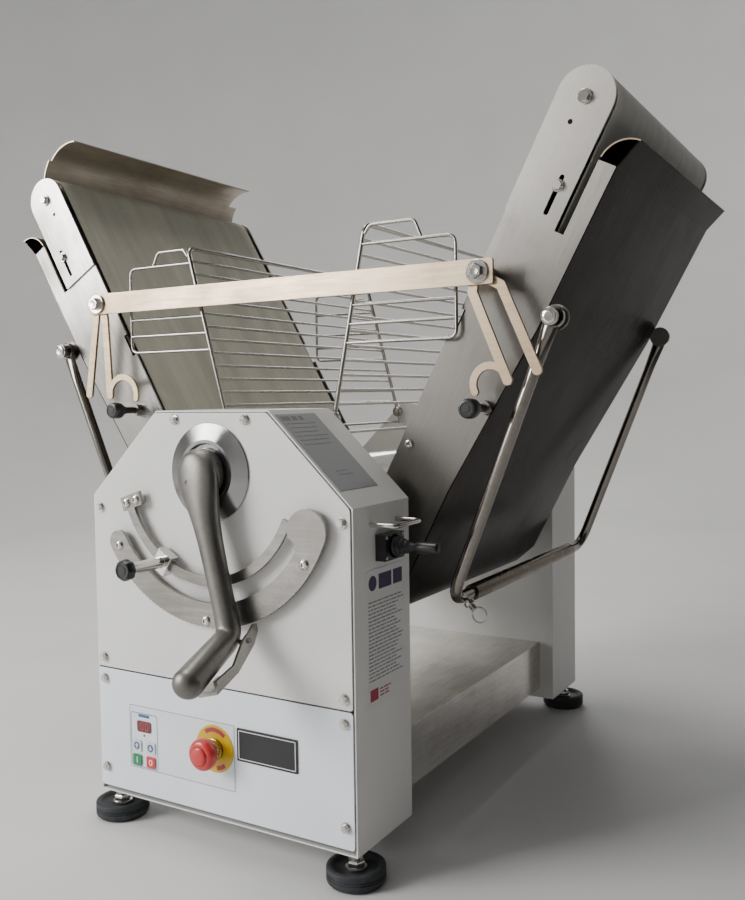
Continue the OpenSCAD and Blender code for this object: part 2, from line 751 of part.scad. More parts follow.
module guard_right() color("silver") set_down() guard(lean_right);
module guard_left() color("silver") set_down() mirror([1, 0, 0]) guard(lean_left);

front_cabinet();
front_cover();
control_panel();
rear_cabinet();
rear_cover();
base_channel();
cover_bolts();
foot_studs();
foot_pads();
hub_flange();
index_sector();
sector_fixings();
label_plates();
display_window();
brand_plate();
estop_disc();
estop_collar();
side_handle();
joystick_housing();
bearing_blocks();
scrapers();
drive_motor();
pivot_pins();
lever();
lever_shaft();
trigger();
stop_clamp();
stop_knob();
estop_button();
button_up();
button_down();
button_start();
button_stop();
joystick();
roller_carriage();
upper_roller();
lower_roller();
table_plates_right();
table_plates_left();
table_pan_right();
table_pan_left();
belt_right();
belt_left();
drive_roller_right();
drive_roller_left();
nose_roller_right();
nose_roller_left();
support_right();
support_left();
table_knob_right();
table_knob_left();
guard_right();
guard_left();
link_bar();
bar_pin();
bar_bolt();
hook_right();
hook_left();
end_tray();
lanyard_pin();
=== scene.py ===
"""Looks for the dough sheeter: materials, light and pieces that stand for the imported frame's nodes."""
import math
import random

import bmesh
import bpy
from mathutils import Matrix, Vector


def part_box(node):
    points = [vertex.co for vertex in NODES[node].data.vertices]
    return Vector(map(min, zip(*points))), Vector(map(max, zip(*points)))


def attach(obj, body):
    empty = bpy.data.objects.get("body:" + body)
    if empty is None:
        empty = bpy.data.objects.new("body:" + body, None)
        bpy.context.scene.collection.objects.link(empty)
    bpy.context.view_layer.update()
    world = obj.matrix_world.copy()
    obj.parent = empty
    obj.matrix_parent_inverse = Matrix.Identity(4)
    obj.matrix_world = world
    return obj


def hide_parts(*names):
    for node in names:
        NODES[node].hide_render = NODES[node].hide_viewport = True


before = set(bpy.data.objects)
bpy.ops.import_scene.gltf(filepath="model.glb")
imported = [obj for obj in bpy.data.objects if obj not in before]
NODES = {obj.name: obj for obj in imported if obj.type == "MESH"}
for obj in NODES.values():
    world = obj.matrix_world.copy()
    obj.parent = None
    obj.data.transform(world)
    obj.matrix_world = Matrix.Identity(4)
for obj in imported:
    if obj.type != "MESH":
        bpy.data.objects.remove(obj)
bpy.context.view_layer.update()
MM = 0.001

# ------------------------------------------------------------------ places, in millimetres unless noted
# The working frame: x from the machine's centre, y from the front cover, z from the cabinet's bottom.
_low, _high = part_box("front_cabinet")
ORIGIN = Vector(((_low[0] + _high[0]) / 2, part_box("front_cover")[0][1], _low[2]))
HUB_Z = 438
PIVOT_X = 152
PIVOT_Z = 282
FOLD = {"right": 62.5, "left": 60.0}
SIDE = {"right": 1, "left": -1}
NOSE_U = 638
ROLLER_W = 22
LUG = (407, -58)
LEVER_ANGLE = -74.5
ESTOP = (-2, 92)
BAR_X = 308.7
BAR_Z = 671
FRONT = (0, -1, 0)
HALF_WIDTH = 205
CABINET_TOP = 514
REAR_FACE = 764
TABLE_FRONT = 150
WEAVE = 420
RING_PITCH = 9000
WELD = 1e-6
KNURL_ANGLE = {"estop_ring": 30, "stop_knob_grip": 38}


def at(x, y, z):
    """A point of the working frame, in metres."""
    return ORIGIN + Vector((x, y, z)) * MM


def on_table(side, u, y, w):
    """A point in table lengths: u outwards from the pivot, w towards the belt side."""
    fold = math.radians(FOLD[side])
    x = PIVOT_X + u * math.cos(fold) - w * math.sin(fold)
    z = PIVOT_Z + u * math.sin(fold) + w * math.cos(fold)
    return at(SIDE[side] * x, y, z)


def on_lever(a, y, t):
    """A point in lever lengths: a along the arm, t across it."""
    angle = math.radians(LEVER_ANGLE)
    return at(a * math.cos(angle) - t * math.sin(angle), y,
              HUB_Z + a * math.sin(angle) + t * math.cos(angle))


# ------------------------------------------------------------------ camera, light and floor
def make_camera():
    camera = bpy.data.cameras.new("camera")
    camera.sensor_width = 36.0
    camera.lens = 37.59
    camera.shift_x = -0.0078
    camera.shift_y = -0.0061
    holder = bpy.data.objects.new("camera", camera)
    bpy.context.collection.objects.link(holder)
    holder.location = at(764.0, -887.2, 528.8)
    holder.rotation_euler = (math.radians(87.05), math.radians(0.79), math.radians(30.42))
    bpy.context.scene.camera = holder


def area_light(name, place, target, size, power, color=(1, 1, 1)):
    light = bpy.data.lights.new(name, "AREA")
    light.shape = "RECTANGLE"
    light.size, light.size_y = size
    light.energy = power
    light.color = color
    holder = bpy.data.objects.new(name, light)
    bpy.context.collection.objects.link(holder)
    holder.location = place
    holder.rotation_euler = (Vector(target) - Vector(place)).to_track_quat("-Z", "Y").to_euler()


def make_lights():
    area_light("key", (-2.3, -2.7, 1.7), (0, -0.1, 0.4), (1.6, 1.6), 135, (1.0, 0.99, 0.97))
    area_light("warm_top", (-0.9, -0.2, 3.2), (0, 0, 0.5), (1.6, 1.2), 40, (1.0, 0.95, 0.88))
    area_light("back", (-1.6, 2.9, 1.9), (0, 0, 0.6), (1.4, 1.0), 26)
    area_light("right", (3.2, 0.6, 1.9), (0, 0, 0.5), (0.8, 1.6), 2.5, (1.0, 0.95, 0.9))
    world = bpy.data.worlds.new("world")
    bpy.context.scene.world = world
    world.use_nodes = True
    tree = world.node_tree
    back = tree.nodes["Background"]
    # A large soft window on the left in front and a dim room on the right
    place = tree.nodes.new("ShaderNodeTexCoord")
    toward = tree.nodes.new("ShaderNodeVectorMath")
    toward.operation = "DOT_PRODUCT"
    toward.inputs[1].default_value = (-0.62, -0.60, 0.50)
    ramp = tree.nodes.new("ShaderNodeValToRGB")
    stops = ((0.0, 0.04), (0.45, 0.08), (0.72, 0.42), (1.0, 1.05))
    ramp.color_ramp.elements[0].position = stops[0][0]
    ramp.color_ramp.elements[0].color = (stops[0][1],) * 3 + (1,)
    ramp.color_ramp.elements[1].position = stops[3][0]
    ramp.color_ramp.elements[1].color = (stops[3][1],) * 3 + (1,)
    for position, value in stops[1:3]:
        ramp.color_ramp.elements.new(position).color = (value, value, value * 1.02, 1)
    scale = tree.nodes.new("ShaderNodeMapRange")
    scale.inputs["From Min"].default_value = -1.0
    tree.links.new(place.outputs["Generated"], toward.inputs[0])
    tree.links.new(toward.outputs["Value"], scale.inputs["Value"])
    tree.links.new(scale.outputs[0], ramp.inputs[0])
    tree.links.new(ramp.outputs[0], back.inputs["Color"])
    back.inputs["Strength"].default_value = 0.7


# ------------------------------------------------------------------ materials
class Finish:
    """A procedural material: textures in object coordinates feed one Principled shader."""

    def __init__(self, name, color, roughness, metallic=0.0, **fixed):
        self.material = bpy.data.materials.new(name)
        self.material.use_nodes = True
        self.tree = self.material.node_tree
        self.shader = self.tree.nodes["Principled BSDF"]
        self.shader.inputs["Base Color"].default_value = (*color, 1)
        self.shader.inputs["Roughness"].default_value = roughness
        self.shader.inputs["Metallic"].default_value = metallic
        for socket, value in fixed.items():
            self.shader.inputs[socket.replace("_", " ")].default_value = value
        self.place = self.tree.nodes.new("ShaderNodeTexCoord").outputs["Object"]

    def mapped(self, stretch=(1, 1, 1), turn=0.0):
        node = self.tree.nodes.new("ShaderNodeMapping")
        node.vector_type = "TEXTURE"
        node.inputs["Rotation"].default_value = (0, math.radians(turn), 0)
        node.inputs["Scale"].default_value = stretch
        self.tree.links.new(self.place, node.inputs["Vector"])
        return node.outputs[0]

    def noise(self, scale, detail=3.0, rough=0.55, stretch=(1, 1, 1), turn=0.0):
        node = self.tree.nodes.new("ShaderNodeTexNoise")
        node.inputs["Scale"].default_value = scale
        node.inputs["Detail"].default_value = detail
        node.inputs["Roughness"].default_value = rough
        self.tree.links.new(self.mapped(stretch, turn), node.inputs["Vector"])
        return node.outputs["Fac"]

    def wave(self, scale, direction, turn):
        node = self.tree.nodes.new("ShaderNodeTexWave")
        node.bands_direction = direction
        node.inputs["Scale"].default_value = scale
        self.tree.links.new(self.mapped(turn=turn), node.inputs["Vector"])
        return node.outputs["Fac"]

    def split(self, axis, value):
        node = self.tree.nodes.new("ShaderNodeSeparateXYZ")
        self.tree.links.new(value, node.inputs[0])
        return node.outputs[axis]

    def remap(self, value, low, high, start=0.3, end=0.7):
        node = self.tree.nodes.new("ShaderNodeMapRange")
        for socket, number in zip(("From Min", "From Max", "To Min", "To Max"), (start, end, low, high)):
            node.inputs[socket].default_value = number
        self.tree.links.new(value, node.inputs["Value"])
        return node.outputs[0]

    def blend(self, first, second, kind="MULTIPLY"):
        node = self.tree.nodes.new("ShaderNodeMath")
        node.operation = kind
        for socket, value in zip(node.inputs, (first, second)):
            if isinstance(value, (int, float)):
                socket.default_value = value
            else:
                self.tree.links.new(value, socket)
        return node.outputs[0]

    def tint(self, value, low, high, start=0.3, end=0.7):
        ramp = self.tree.nodes.new("ShaderNodeValToRGB")
        ramp.color_ramp.elements[0].position = start
        ramp.color_ramp.elements[0].color = (*low, 1)
        ramp.color_ramp.elements[1].position = end
        ramp.color_ramp.elements[1].color = (*high, 1)
        self.tree.links.new(value, ramp.inputs[0])
        return ramp.outputs[0]

    def stain(self, base, amount, color):
        node = self.tree.nodes.new("ShaderNodeMix")
        node.data_type = "RGBA"
        self.tree.links.new(amount, node.inputs[0])
        self.tree.links.new(base, node.inputs[6])
        node.inputs[7].default_value = (*color, 1)
        return node.outputs[2]

    def color(self, value):
        self.tree.links.new(value, self.shader.inputs["Base Color"])

    def roughness(self, value):
        self.tree.links.new(value, self.shader.inputs["Roughness"])

    def bump(self, height, strength, depth=0.0005):
        node = self.tree.nodes.new("ShaderNodeBump")
        node.inputs["Strength"].default_value = strength
        node.inputs["Distance"].default_value = depth
        self.tree.links.new(height, node.inputs["Height"])
        self.tree.links.new(node.outputs[0], self.shader.inputs["Normal"])


def painted(name, color):
    """Powder coat: fine orange peel, faint grime specks and rubbed patches."""
    f = Finish(name, color, 0.42, Coat_Weight=0.12, Coat_Roughness=0.25)
    patches = f.noise(5, 5)
    peel = f.noise(620, 2)
    dark = tuple(c * 0.90 for c in color)
    base = f.tint(patches, dark, color, 0.25, 0.6)
    specks = f.remap(f.noise(150, 6, 0.7), 0.0, 0.35, 0.66, 0.78)
    f.color(f.stain(base, specks, (0.42, 0.38, 0.31)))
    f.roughness(f.remap(patches, 0.34, 0.52))
    f.bump(peel, 0.10, 0.0003)
    return f.material


def brushed(name, dark, light, turn=0.0, rough=(0.26, 0.44), along="X", fade=None, edge=1.0):
    """Brushed sheet steel with grain, handling smudges and fine scratches.

    fade is (start, end, share): painted shade, the colour darkened down to share before start and clear past
    end, both measured in mm up the folded table; it stands in for the dark cabinet reflected in the lower
    steel. edge below 1 weakens the reflection at glancing angles.
    """
    f = Finish(name, light, 0.35, 1.0, Specular_Tint=(edge, edge, edge, 1))
    stretch = {"X": (14, 1, 1), "Y": (1, 14, 1), "Z": (1, 1, 14)}[along]
    grain = f.noise(260, 4, 0.6, stretch, turn)
    cloud = f.noise(7, 6, 0.62)
    scratch = f.noise(90, 8, 0.8, tuple(s * 2 if s > 1 else 1 for s in stretch), turn + 8)
    tone = f.blend(f.blend(grain, 0.35), f.blend(cloud, 0.65), "ADD")
    base = f.tint(tone, dark, light, 0.34, 0.62)
    base = f.stain(base, f.remap(scratch, 0.0, 0.4, 0.63, 0.74), tuple(min(1, c * 1.25) for c in light))
    # Painted shade: the colour is darkened towards the lower end of the table, for the dark cabinet
    # reflected in the steel and the shade there.
    if fade:
        start, end, share = fade
        lift = f.split("Z", f.place)
        shade_level = f.blend(lift, f.remap(cloud, -0.03, 0.03, 0.3, 0.7), "ADD")
        amount = f.remap(shade_level, 1 - share, 0.0, at(0, 0, start).z, at(0, 0, end).z)
        base = f.stain(base, amount, tuple(c * 0.2 for c in dark))
    f.color(base)
    f.roughness(f.remap(tone, rough[1], rough[0], 0.34, 0.64))
    f.bump(grain, 0.07, 0.0002)
    return f.material


def polished(name, color, rough=(0.12, 0.24)):
    f = Finish(name, color, rough[0], 1.0)
    cloud = f.noise(22, 5)
    marks = f.noise(240, 4, 0.7, (8, 1, 1), 25)
    f.roughness(f.remap(cloud, rough[0], rough[1]))
    f.color(f.tint(marks, tuple(c * 0.84 for c in color), color, 0.3, 0.6))
    f.bump(marks, 0.03, 0.0002)
    return f.material


def turned(name, color):
    """Lathe-turned metal: fine rings around an axis that runs front to back through the hub."""
    f = Finish(name, color, 0.16, 1.0)
    shift = f.tree.nodes.new("ShaderNodeVectorMath")
    shift.operation = "SUBTRACT"
    shift.inputs[1].default_value = tuple(at(0, 0, HUB_Z))
    f.tree.links.new(f.place, shift.inputs[0])
    flatten = f.tree.nodes.new("ShaderNodeVectorMath")
    flatten.operation = "MULTIPLY"
    flatten.inputs[1].default_value = (1, 0, 1)
    f.tree.links.new(shift.outputs[0], flatten.inputs[0])
    length = f.tree.nodes.new("ShaderNodeVectorMath")
    length.operation = "LENGTH"
    f.tree.links.new(flatten.outputs[0], length.inputs[0])
    rings = f.blend(length.outputs["Value"], RING_PITCH)
    sine = f.tree.nodes.new("ShaderNodeMath")
    sine.operation = "SINE"
    f.tree.links.new(rings, sine.inputs[0])
    f.bump(sine.outputs[0], 0.10, 0.0001)
    cloud = f.noise(30, 4)
    f.roughness(f.remap(cloud, 0.10, 0.24))
    f.color(f.tint(cloud, tuple(c * 0.86 for c in color), color))
    return f.material


def cast(name, color):
    """Sand-blasted casting with soft pits and polished high spots."""
    f = Finish(name, color, 0.4, 1.0)
    pits = f.noise(420, 5, 0.7)
    cloud = f.noise(26, 6, 0.65)
    f.color(f.tint(cloud, tuple(c * 0.72 for c in color), color, 0.3, 0.64))
    f.roughness(f.remap(cloud, 0.50, 0.32))
    f.bump(pits, 0.16, 0.0004)
    return f.material


def rubbery(name, color, rough=0.62):
    f = Finish(name, color, rough)
    dust = f.noise(60, 7, 0.7)
    f.color(f.tint(dust, color, tuple(c * 2.1 + 0.02 for c in color), 0.48, 0.82))
    f.roughness(f.remap(dust, rough - 0.1, rough + 0.15))
    f.bump(f.noise(500, 3), 0.12, 0.0003)
    return f.material


def plastic(name, color, rough=0.35, coat=0.0):
    f = Finish(name, color, rough, Coat_Weight=coat, Coat_Roughness=0.12)
    cloud = f.noise(70, 5)
    f.color(f.tint(cloud, tuple(c * 0.86 for c in color), color, 0.3, 0.7))
    f.roughness(f.remap(cloud, rough - 0.06, rough + 0.1))
    f.bump(f.noise(900, 2), 0.05, 0.0002)
    return f.material


def belting(name, dark, light, turn):
    """Coated conveyor belt: a fine weave under the coating, long wear streaks and flour marks."""
    f = Finish(name, light, 0.62, Sheen_Weight=0.25)
    warp = f.wave(WEAVE, "X", turn)
    weft = f.wave(WEAVE, "Y", turn)
    weave = f.blend(warp, weft, "MAXIMUM")
    streaks = f.noise(34, 5, 0.6, (18, 1, 18), turn)
    cloud = f.noise(5, 4)
    tone = f.blend(f.blend(streaks, 0.55), f.blend(cloud, 0.45), "ADD")
    base = f.tint(tone, dark, light, 0.36, 0.62)
    f.color(f.stain(base, f.remap(f.noise(46, 8, 0.75), 0.0, 0.30, 0.58, 0.75), (0.80, 0.79, 0.74)))
    f.roughness(f.remap(cloud, 0.55, 0.74))
    f.bump(weave, 0.10, 0.0003)
    return f.material


def printed(name, color):
    f = Finish(name, color, 0.38, Coat_Weight=0.2, Coat_Roughness=0.3)
    cloud = f.noise(12, 5)
    f.color(f.tint(cloud, tuple(c * 0.93 for c in color), color))
    f.roughness(f.remap(cloud, 0.30, 0.46))
    f.bump(f.noise(700, 2), 0.04, 0.0002)
    return f.material


def glowing(name, color, strength):
    f = Finish(name, color, 0.3)
    f.shader.inputs["Emission Color"].default_value = (*color, 1)
    f.shader.inputs["Emission Strength"].default_value = strength
    f.roughness(f.remap(f.noise(200, 2), 0.25, 0.4))
    return f.material


MATS = {
    "white": painted("white_coat", (0.80, 0.80, 0.785)),
    # The control panel's coat is the same white paint, tinted blue as painted cool daylight.
    "white_blue_lit": painted("white_coat_blue_lit", (0.88, 0.93, 0.985)),
    "steel": brushed("sheet_steel", (0.22, 0.21, 0.195), (0.38, 0.365, 0.345)),
    # The plates of both tables are one stainless steel: the right is painted lighter and warmer and the left
    # darker, as painted light and shade, and both darken low down as painted shade.
    "plate_right": brushed("plate_right", (0.54, 0.515, 0.485), (0.92, 0.88, 0.82), -FOLD["right"],
                           fade=(640, 900, 0.14)),
    "plate_left": brushed("plate_left", (0.43, 0.41, 0.375), (0.69, 0.67, 0.64), FOLD["left"],
                          fade=(600, 880, 0.34)),
    # Both pans are one polished stainless steel: the near-black colour is a painted dark reflection, and the
    # right pan is painted darker than the left as painted shade.
    "pan_right": brushed("pan_right", (0.015, 0.012, 0.0105), (0.034, 0.027, 0.024), -FOLD["right"],
                         (0.16, 0.30), edge=0.62),
    "pan_left": brushed("pan_left", (0.05, 0.044, 0.038), (0.11, 0.095, 0.085), FOLD["left"], (0.18, 0.32),
                        edge=0.62),
    "base": brushed("base_steel", (0.52, 0.495, 0.465), (0.86, 0.83, 0.79), 0, (0.13, 0.26), "Y"),
    # Stainless link bar, hooks and the pan's cut edge, tinted warm brown as painted warm light.
    "warm": brushed("steel_painted_warm_light", (0.40, 0.30, 0.20), (0.60, 0.48, 0.35), 0, (0.30, 0.46)),
    "bright": polished("bright_steel", (0.66, 0.64, 0.61)),
    "wire": polished("guard_wire", (0.42, 0.40, 0.37), (0.16, 0.30)),
    "tube": polished("support_tube", (0.26, 0.24, 0.215), (0.12, 0.24)),
    "sleeve": polished("sleeve_tube", (0.13, 0.10, 0.075), (0.20, 0.34)),
    "hub": turned("polished_hub", (0.36, 0.36, 0.362)),
    "cast": cast("cast_lever", (0.235, 0.226, 0.212)),
    "rubber": rubbery("foot_rubber", (0.022, 0.024, 0.028)),
    "boot": rubbery("boot_rubber", (0.013, 0.014, 0.018), 0.5),
    "black": plastic("black_plastic", (0.012, 0.012, 0.014), 0.34, 0.1),
    "grey_film": printed("grey_film", (0.34, 0.355, 0.375)),
    "pale_film": printed("pale_film", (0.76, 0.76, 0.75)),
    # The control film is a pale film tinted blue as painted cool daylight.
    "panel_film_blue_lit": printed("panel_film_blue_lit", (0.83, 0.875, 0.925)),
    "ink": plastic("dark_ink", (0.05, 0.05, 0.06), 0.5),
    "soft_ink": plastic("soft_ink", (0.24, 0.23, 0.24), 0.5),
    "purple_ink": plastic("purple_ink", (0.05, 0.035, 0.10), 0.5),
    "red_ink": plastic("red_ink", (0.42, 0.04, 0.07), 0.5),
    "blue_ink": plastic("blue_ink", (0.07, 0.12, 0.36), 0.5),
    "white_ink": plastic("white_ink", (0.82, 0.82, 0.82), 0.5),
    "window": plastic("display_window", (0.13, 0.012, 0.015), 0.16, 0.5),
    "segment": glowing("display_segment", (0.40, 0.03, 0.03), 0.25),
    "yellow": plastic("disc_yellow", (0.72, 0.47, 0.004), 0.36, 0.1),
    "brass": polished("collar_brass", (0.50, 0.36, 0.15), (0.24, 0.42)),
    "red": plastic("mushroom_red", (0.62, 0.035, 0.035), 0.32, 0.35),
    "key_green": plastic("key_green", (0.02, 0.24, 0.09), 0.4),
    "key_red": plastic("key_red", (0.66, 0.04, 0.05), 0.4),
    "iron": cast("machine_iron", (0.20, 0.21, 0.225)),
    "drum": rubbery("drum_rubber", (0.03, 0.03, 0.03)),
    "belt_right": belting("belt_right", (0.52, 0.505, 0.45), (0.73, 0.715, 0.65), -FOLD["right"]),
    "belt_left": belting("belt_left", (0.37, 0.36, 0.29), (0.56, 0.55, 0.46), FOLD["left"]),
    "tray": brushed("tray_sheet", (0.36, 0.31, 0.25), (0.56, 0.50, 0.42), FOLD["left"], (0.34, 0.5), "Y"),
}


# ------------------------------------------------------------------ mesh tools
def new_object(name, mesh, material):
    thing = bpy.data.objects.new(name, mesh)
    bpy.context.collection.objects.link(thing)
    mesh.materials.append(MATS[material])
    return thing


def smooth(mesh, angle=38):
    for face in mesh.polygons:
        face.use_smooth = True
    mesh.set_sharp_from_angle(angle=math.radians(angle))


def finish_mesh(name, bm, material, angle=38, weighted=False):
    bmesh.ops.recalc_face_normals(bm, faces=bm.faces)
    mesh = bpy.data.meshes.new(name)
    bm.to_mesh(mesh)
    bm.free()
    smooth(mesh, angle)
    thing = new_object(name, mesh, material)
    if weighted:
        thing.modifiers.new("even_normals", "WEIGHTED_NORMAL").keep_sharp = True
    return thing


def place(thing, body, slot, *replaced):
    """Rides the piece on its body and hides the CAD nodes that it stands for. slot is not used."""
    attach(thing, body)
    if replaced:
        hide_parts(*replaced)
    return thing


def round_edges(bm, width, segments=2, angle=32):
    bmesh.ops.remove_doubles(bm, verts=bm.verts, dist=WELD)
    bmesh.ops.dissolve_limit(bm, angle_limit=math.radians(0.6), verts=bm.verts, edges=bm.edges)
    sharp = [e for e in bm.edges if len(e.link_faces) == 2 and e.calc_face_angle(0) > math.radians(angle)]
    bmesh.ops.bevel(bm, geom=sharp, offset=width, segments=segments, profile=0.6, affect="EDGES",
                    clamp_overlap=True)


def round_outline(bm, radius):
    """Rounds the corners of a plate whose outline lies in x and z."""
    bmesh.ops.remove_doubles(bm, verts=bm.verts, dist=WELD)
    bmesh.ops.dissolve_limit(bm, angle_limit=math.radians(0.6), verts=bm.verts, edges=bm.edges)
    corners = [e for e in bm.edges if len(e.link_faces) == 2 and e.calc_face_angle(0) > math.radians(30)
               and abs((e.verts[0].co - e.verts[1].co).normalized().y) > 0.99]
    bmesh.ops.bevel(bm, geom=corners, offset=radius * MM, segments=6, profile=0.5, affect="EDGES",
                    clamp_overlap=True)


def refine(node, body, slot, material, width=0.0006, segments=2, corner=0.0, shape=None):
    """A copy of a CAD node with rounded edges and clean shading, which stands for the node."""
    bm = bmesh.new()
    bm.from_mesh(NODES[node].data)
    if shape:
        shape(bm)
    if corner:
        round_outline(bm, corner)
    round_edges(bm, width, segments)
    piece = finish_mesh(node + "_skin", bm, material, 50, True)
    return place(piece, body, slot, node)


def basis(direction):
    """Two unit vectors across a direction."""
    d = Vector(direction).normalized()
    side = d.orthogonal().normalized()
    if abs(d.z) < 0.9:
        side = d.cross(Vector((0, 0, 1))).normalized()
    return side, d.cross(side).normalized()


def lathe_into(bm, centre, axis, profile, steps=48, start=0.0):
    """Adds a turned solid: profile is a list of (radius, height) in mm along axis from centre."""
    side, up = basis(axis)
    d = Vector(axis).normalized()
    rings = []
    for radius, height in profile:
        if radius < 1e-6:
            rings.append([bm.verts.new(centre + d * height * MM)])
            continue
        ring = []
        for i in range(steps):
            a = start + 2 * math.pi * i / steps
            ring.append(bm.verts.new(centre + d * height * MM
                                     + (side * math.cos(a) + up * math.sin(a)) * radius * MM))
        rings.append(ring)
    for first, second in zip(rings, rings[1:]):
        for i in range(max(len(first), len(second))):
            j = (i + 1) % max(len(first), len(second))
            quad = [first[i % len(first)], first[j % len(first)], second[j % len(second)],
                    second[i % len(second)]]
            corners = list(dict.fromkeys(quad))
            if len(corners) > 2:
                bm.faces.new(corners)
    return rings


def lathe(name, centre, axis, profile, material, steps=64):
    bm = bmesh.new()
    lathe_into(bm, centre, axis, profile, steps)
    return finish_mesh(name, bm, material, 32)


def arc(centre, radius, start, end, steps):
    """Points (r, h) of an arc, for rounding a turned profile."""
    return [(centre[0] + radius * math.cos(math.radians(start + (end - start) * i / steps)),
             centre[1] + radius * math.sin(math.radians(start + (end - start) * i / steps)))
            for i in range(steps + 1)]


def hex_into(bm, centre, axis, across, height, turn=0.0):
    """Adds a hexagon head with a chamfered top."""
    r = across / math.sqrt(3)
    lathe_into(bm, centre, axis, [(0, 0), (r, 0), (r, height * 0.82), (r * 0.90, height), (0, height)], 6,
               turn)


def bolt_into(bm, centre, axis, across, washer, turn=0.0):
    """Adds a flanged hexagon bolt standing on centre, with a washer and a dished head."""
    lathe_into(bm, centre, axis, [(0, 0), (washer, 0), (washer, 1.1), (washer - 0.4, 1.5), (0, 1.5)], 40)
    hex_into(bm, centre + Vector(axis) * 1.5 * MM, axis, across, across * 0.42, turn)
    top = centre + Vector(axis) * (1.5 + across * 0.42) * MM
    lathe_into(bm, top, axis, [(across * 0.36, 0), (across * 0.34, 0.5), (0, 0.3)], 24)


def rounded(points, radius, steps=7):
    """A path in metres whose corners are rounded to a radius in mm."""
    path = [points[0]]
    for before, corner, after in zip(points, points[1:], points[2:]):
        a = (before - corner).normalized()
        b = (after - corner).normalized()
        half = a.angle(b) / 2
        reach = min(radius * MM / math.tan(half), (before - corner).length * 0.48,
                    (after - corner).length * 0.48)
        for i in range(steps + 1):
            t = i / steps
            p0, p2 = corner + a * reach, corner + b * reach
            path.append(p0 * (1 - t) ** 2 + corner * 2 * t * (1 - t) + p2 * t * t)
    path.append(points[-1])
    return path


def skin(bm, rings, capped=False):
    """Joins rings of equal length with quads, in their order, and closes the ends."""
    n = len(rings[0])
    for first, second in zip(rings, rings[1:]):
        for k in range(n):
            bm.faces.new((first[k], first[(k + 1) % n], second[(k + 1) % n], second[k]))
    if capped:
        bm.faces.new(rings[0])
        bm.faces.new(rings[-1])


def turned_grip(name, material, centre, profile, steps, depth_of_cut):
    """A turned piece facing the front whose radius is cut in by depth_of_cut(radius, step)."""
    x, z = centre
    bm = bmesh.new()
    rings = []
    for radius, depth in profile:
        ring = []
        for i in range(steps):
            a = 2 * math.pi * i / steps
            r = radius - depth_of_cut(radius, i)
            ring.append(bm.verts.new(at(x + r * math.cos(a), -depth, z + r * math.sin(a))))
        rings.append(ring)
    skin(bm, rings)
    bmesh.ops.remove_doubles(bm, verts=bm.verts, dist=WELD)
    return finish_mesh(name, bm, material, KNURL_ANGLE[name])


def tube_into(bm, path, radius, sides=14, squeeze=None):
    """Adds a capped tube along a path. squeeze(i, n) gives two scale factors of the section."""
    n = len(path)
    tangent = [(path[min(i + 1, n - 1)] - path[max(i - 1, 0)]).normalized() for i in range(n)]
    side = tangent[0].orthogonal().normalized()
    if abs(tangent[0].y) < 0.9:
        side = Vector((0, 1, 0)) - tangent[0] * tangent[0].y
        side.normalize()
    rings = []
    for i in range(n):
        side = (side - tangent[i] * side.dot(tangent[i])).normalized()
        up = tangent[i].cross(side)
        sx, sy = squeeze(i, n) if squeeze else (1, 1)
        rings.append([bm.verts.new(path[i] + (side * math.cos(a) * sx + up * math.sin(a) * sy) * radius * MM)
                      for a in (2 * math.pi * k / sides for k in range(sides))])
    skin(bm, rings, capped=True)


def slab_into(bm, outline, place_at, y0, y1):
    """Adds a prism: outline is a list of (x, z) pairs, place_at(x, y, z) gives its points."""
    front = [bm.verts.new(place_at(x, y0, z)) for x, z in outline]
    back = [bm.verts.new(place_at(x, y1, z)) for x, z in outline]
    bm.faces.new(front)
    bm.faces.new(back[::-1])
    n = len(outline)
    for i in range(n):
        j = (i + 1) % n
        bm.faces.new((front[i], back[i], back[j], front[j]))


def rounded_rect(x0, x1, z0, z1, radius, steps=5):
    corners = ((x1 - radius, z1 - radius, 0), (x0 + radius, z1 - radius, 90),
               (x0 + radius, z0 + radius, 180),
               (x1 - radius, z0 + radius, 270))
    return [(cx + radius * math.cos(math.radians(a0 + 90 * i / steps)),
             cz + radius * math.sin(math.radians(a0 + 90 * i / steps)))
            for cx, cz, a0 in corners for i in range(steps + 1)]


def panel(name, outline, place_at, y0, y1, material, width=0.3):
    bm = bmesh.new()
    slab_into(bm, outline, place_at, y0, y1)
    round_edges(bm, width * MM)
    return finish_mesh(name, bm, material, 50, True)


# ------------------------------------------------------------------ cabinets, base and feet
def inset_cover(bm):
    """Draws a cover's rim in, so that the cabinet's own edge shows around it past a dark gap."""
    for vert in bm.verts:
        x = (vert.co.x - ORIGIN.x) / MM
        z = (vert.co.z - ORIGIN.z) / MM
        side = math.copysign(1, x)
        if abs(x) > 204:
            vert.co.x -= side * 2.3 * MM
            if z > 401:
                vert.co.z -= 0.98 * MM
        if z > 513:
            vert.co.z -= 2.3 * MM
            if abs(x) > 80:
                vert.co.x -= side * 0.93 * MM


def make_cabinets():
    for node in ("front_cabinet", "rear_cabinet"):
        refine(node, "frame", "white_paint", "white", 0.0016, 3)
    for node, coat in (("front_cover", "white"), ("control_panel", "white_blue_lit"), ("rear_cover", "white")):
        refine(node, "frame", "white_paint", coat, 0.0005, corner=4.0, shape=inset_cover)
    refine("base_channel", "frame", "stainless", "base", 0.0012, 3)
    bm = bmesh.new()
    turn = random.Random(4)
    for x, z in ((56, 503), (191, 386), (191, 184), (191, 155), (191, 34)):
        for s in (-1, 1):
            bolt_into(bm, at(s * x, 0, z), FRONT, 9, 6.75, turn.random() * 3)
            bolt_into(bm, at(s * x, REAR_FACE, z), (0, 1, 0), 9, 6.75, turn.random() * 3)
    place(finish_mesh("cover_bolt_set", bm, "bright"), "frame", "bright_steel", "cover_bolts")


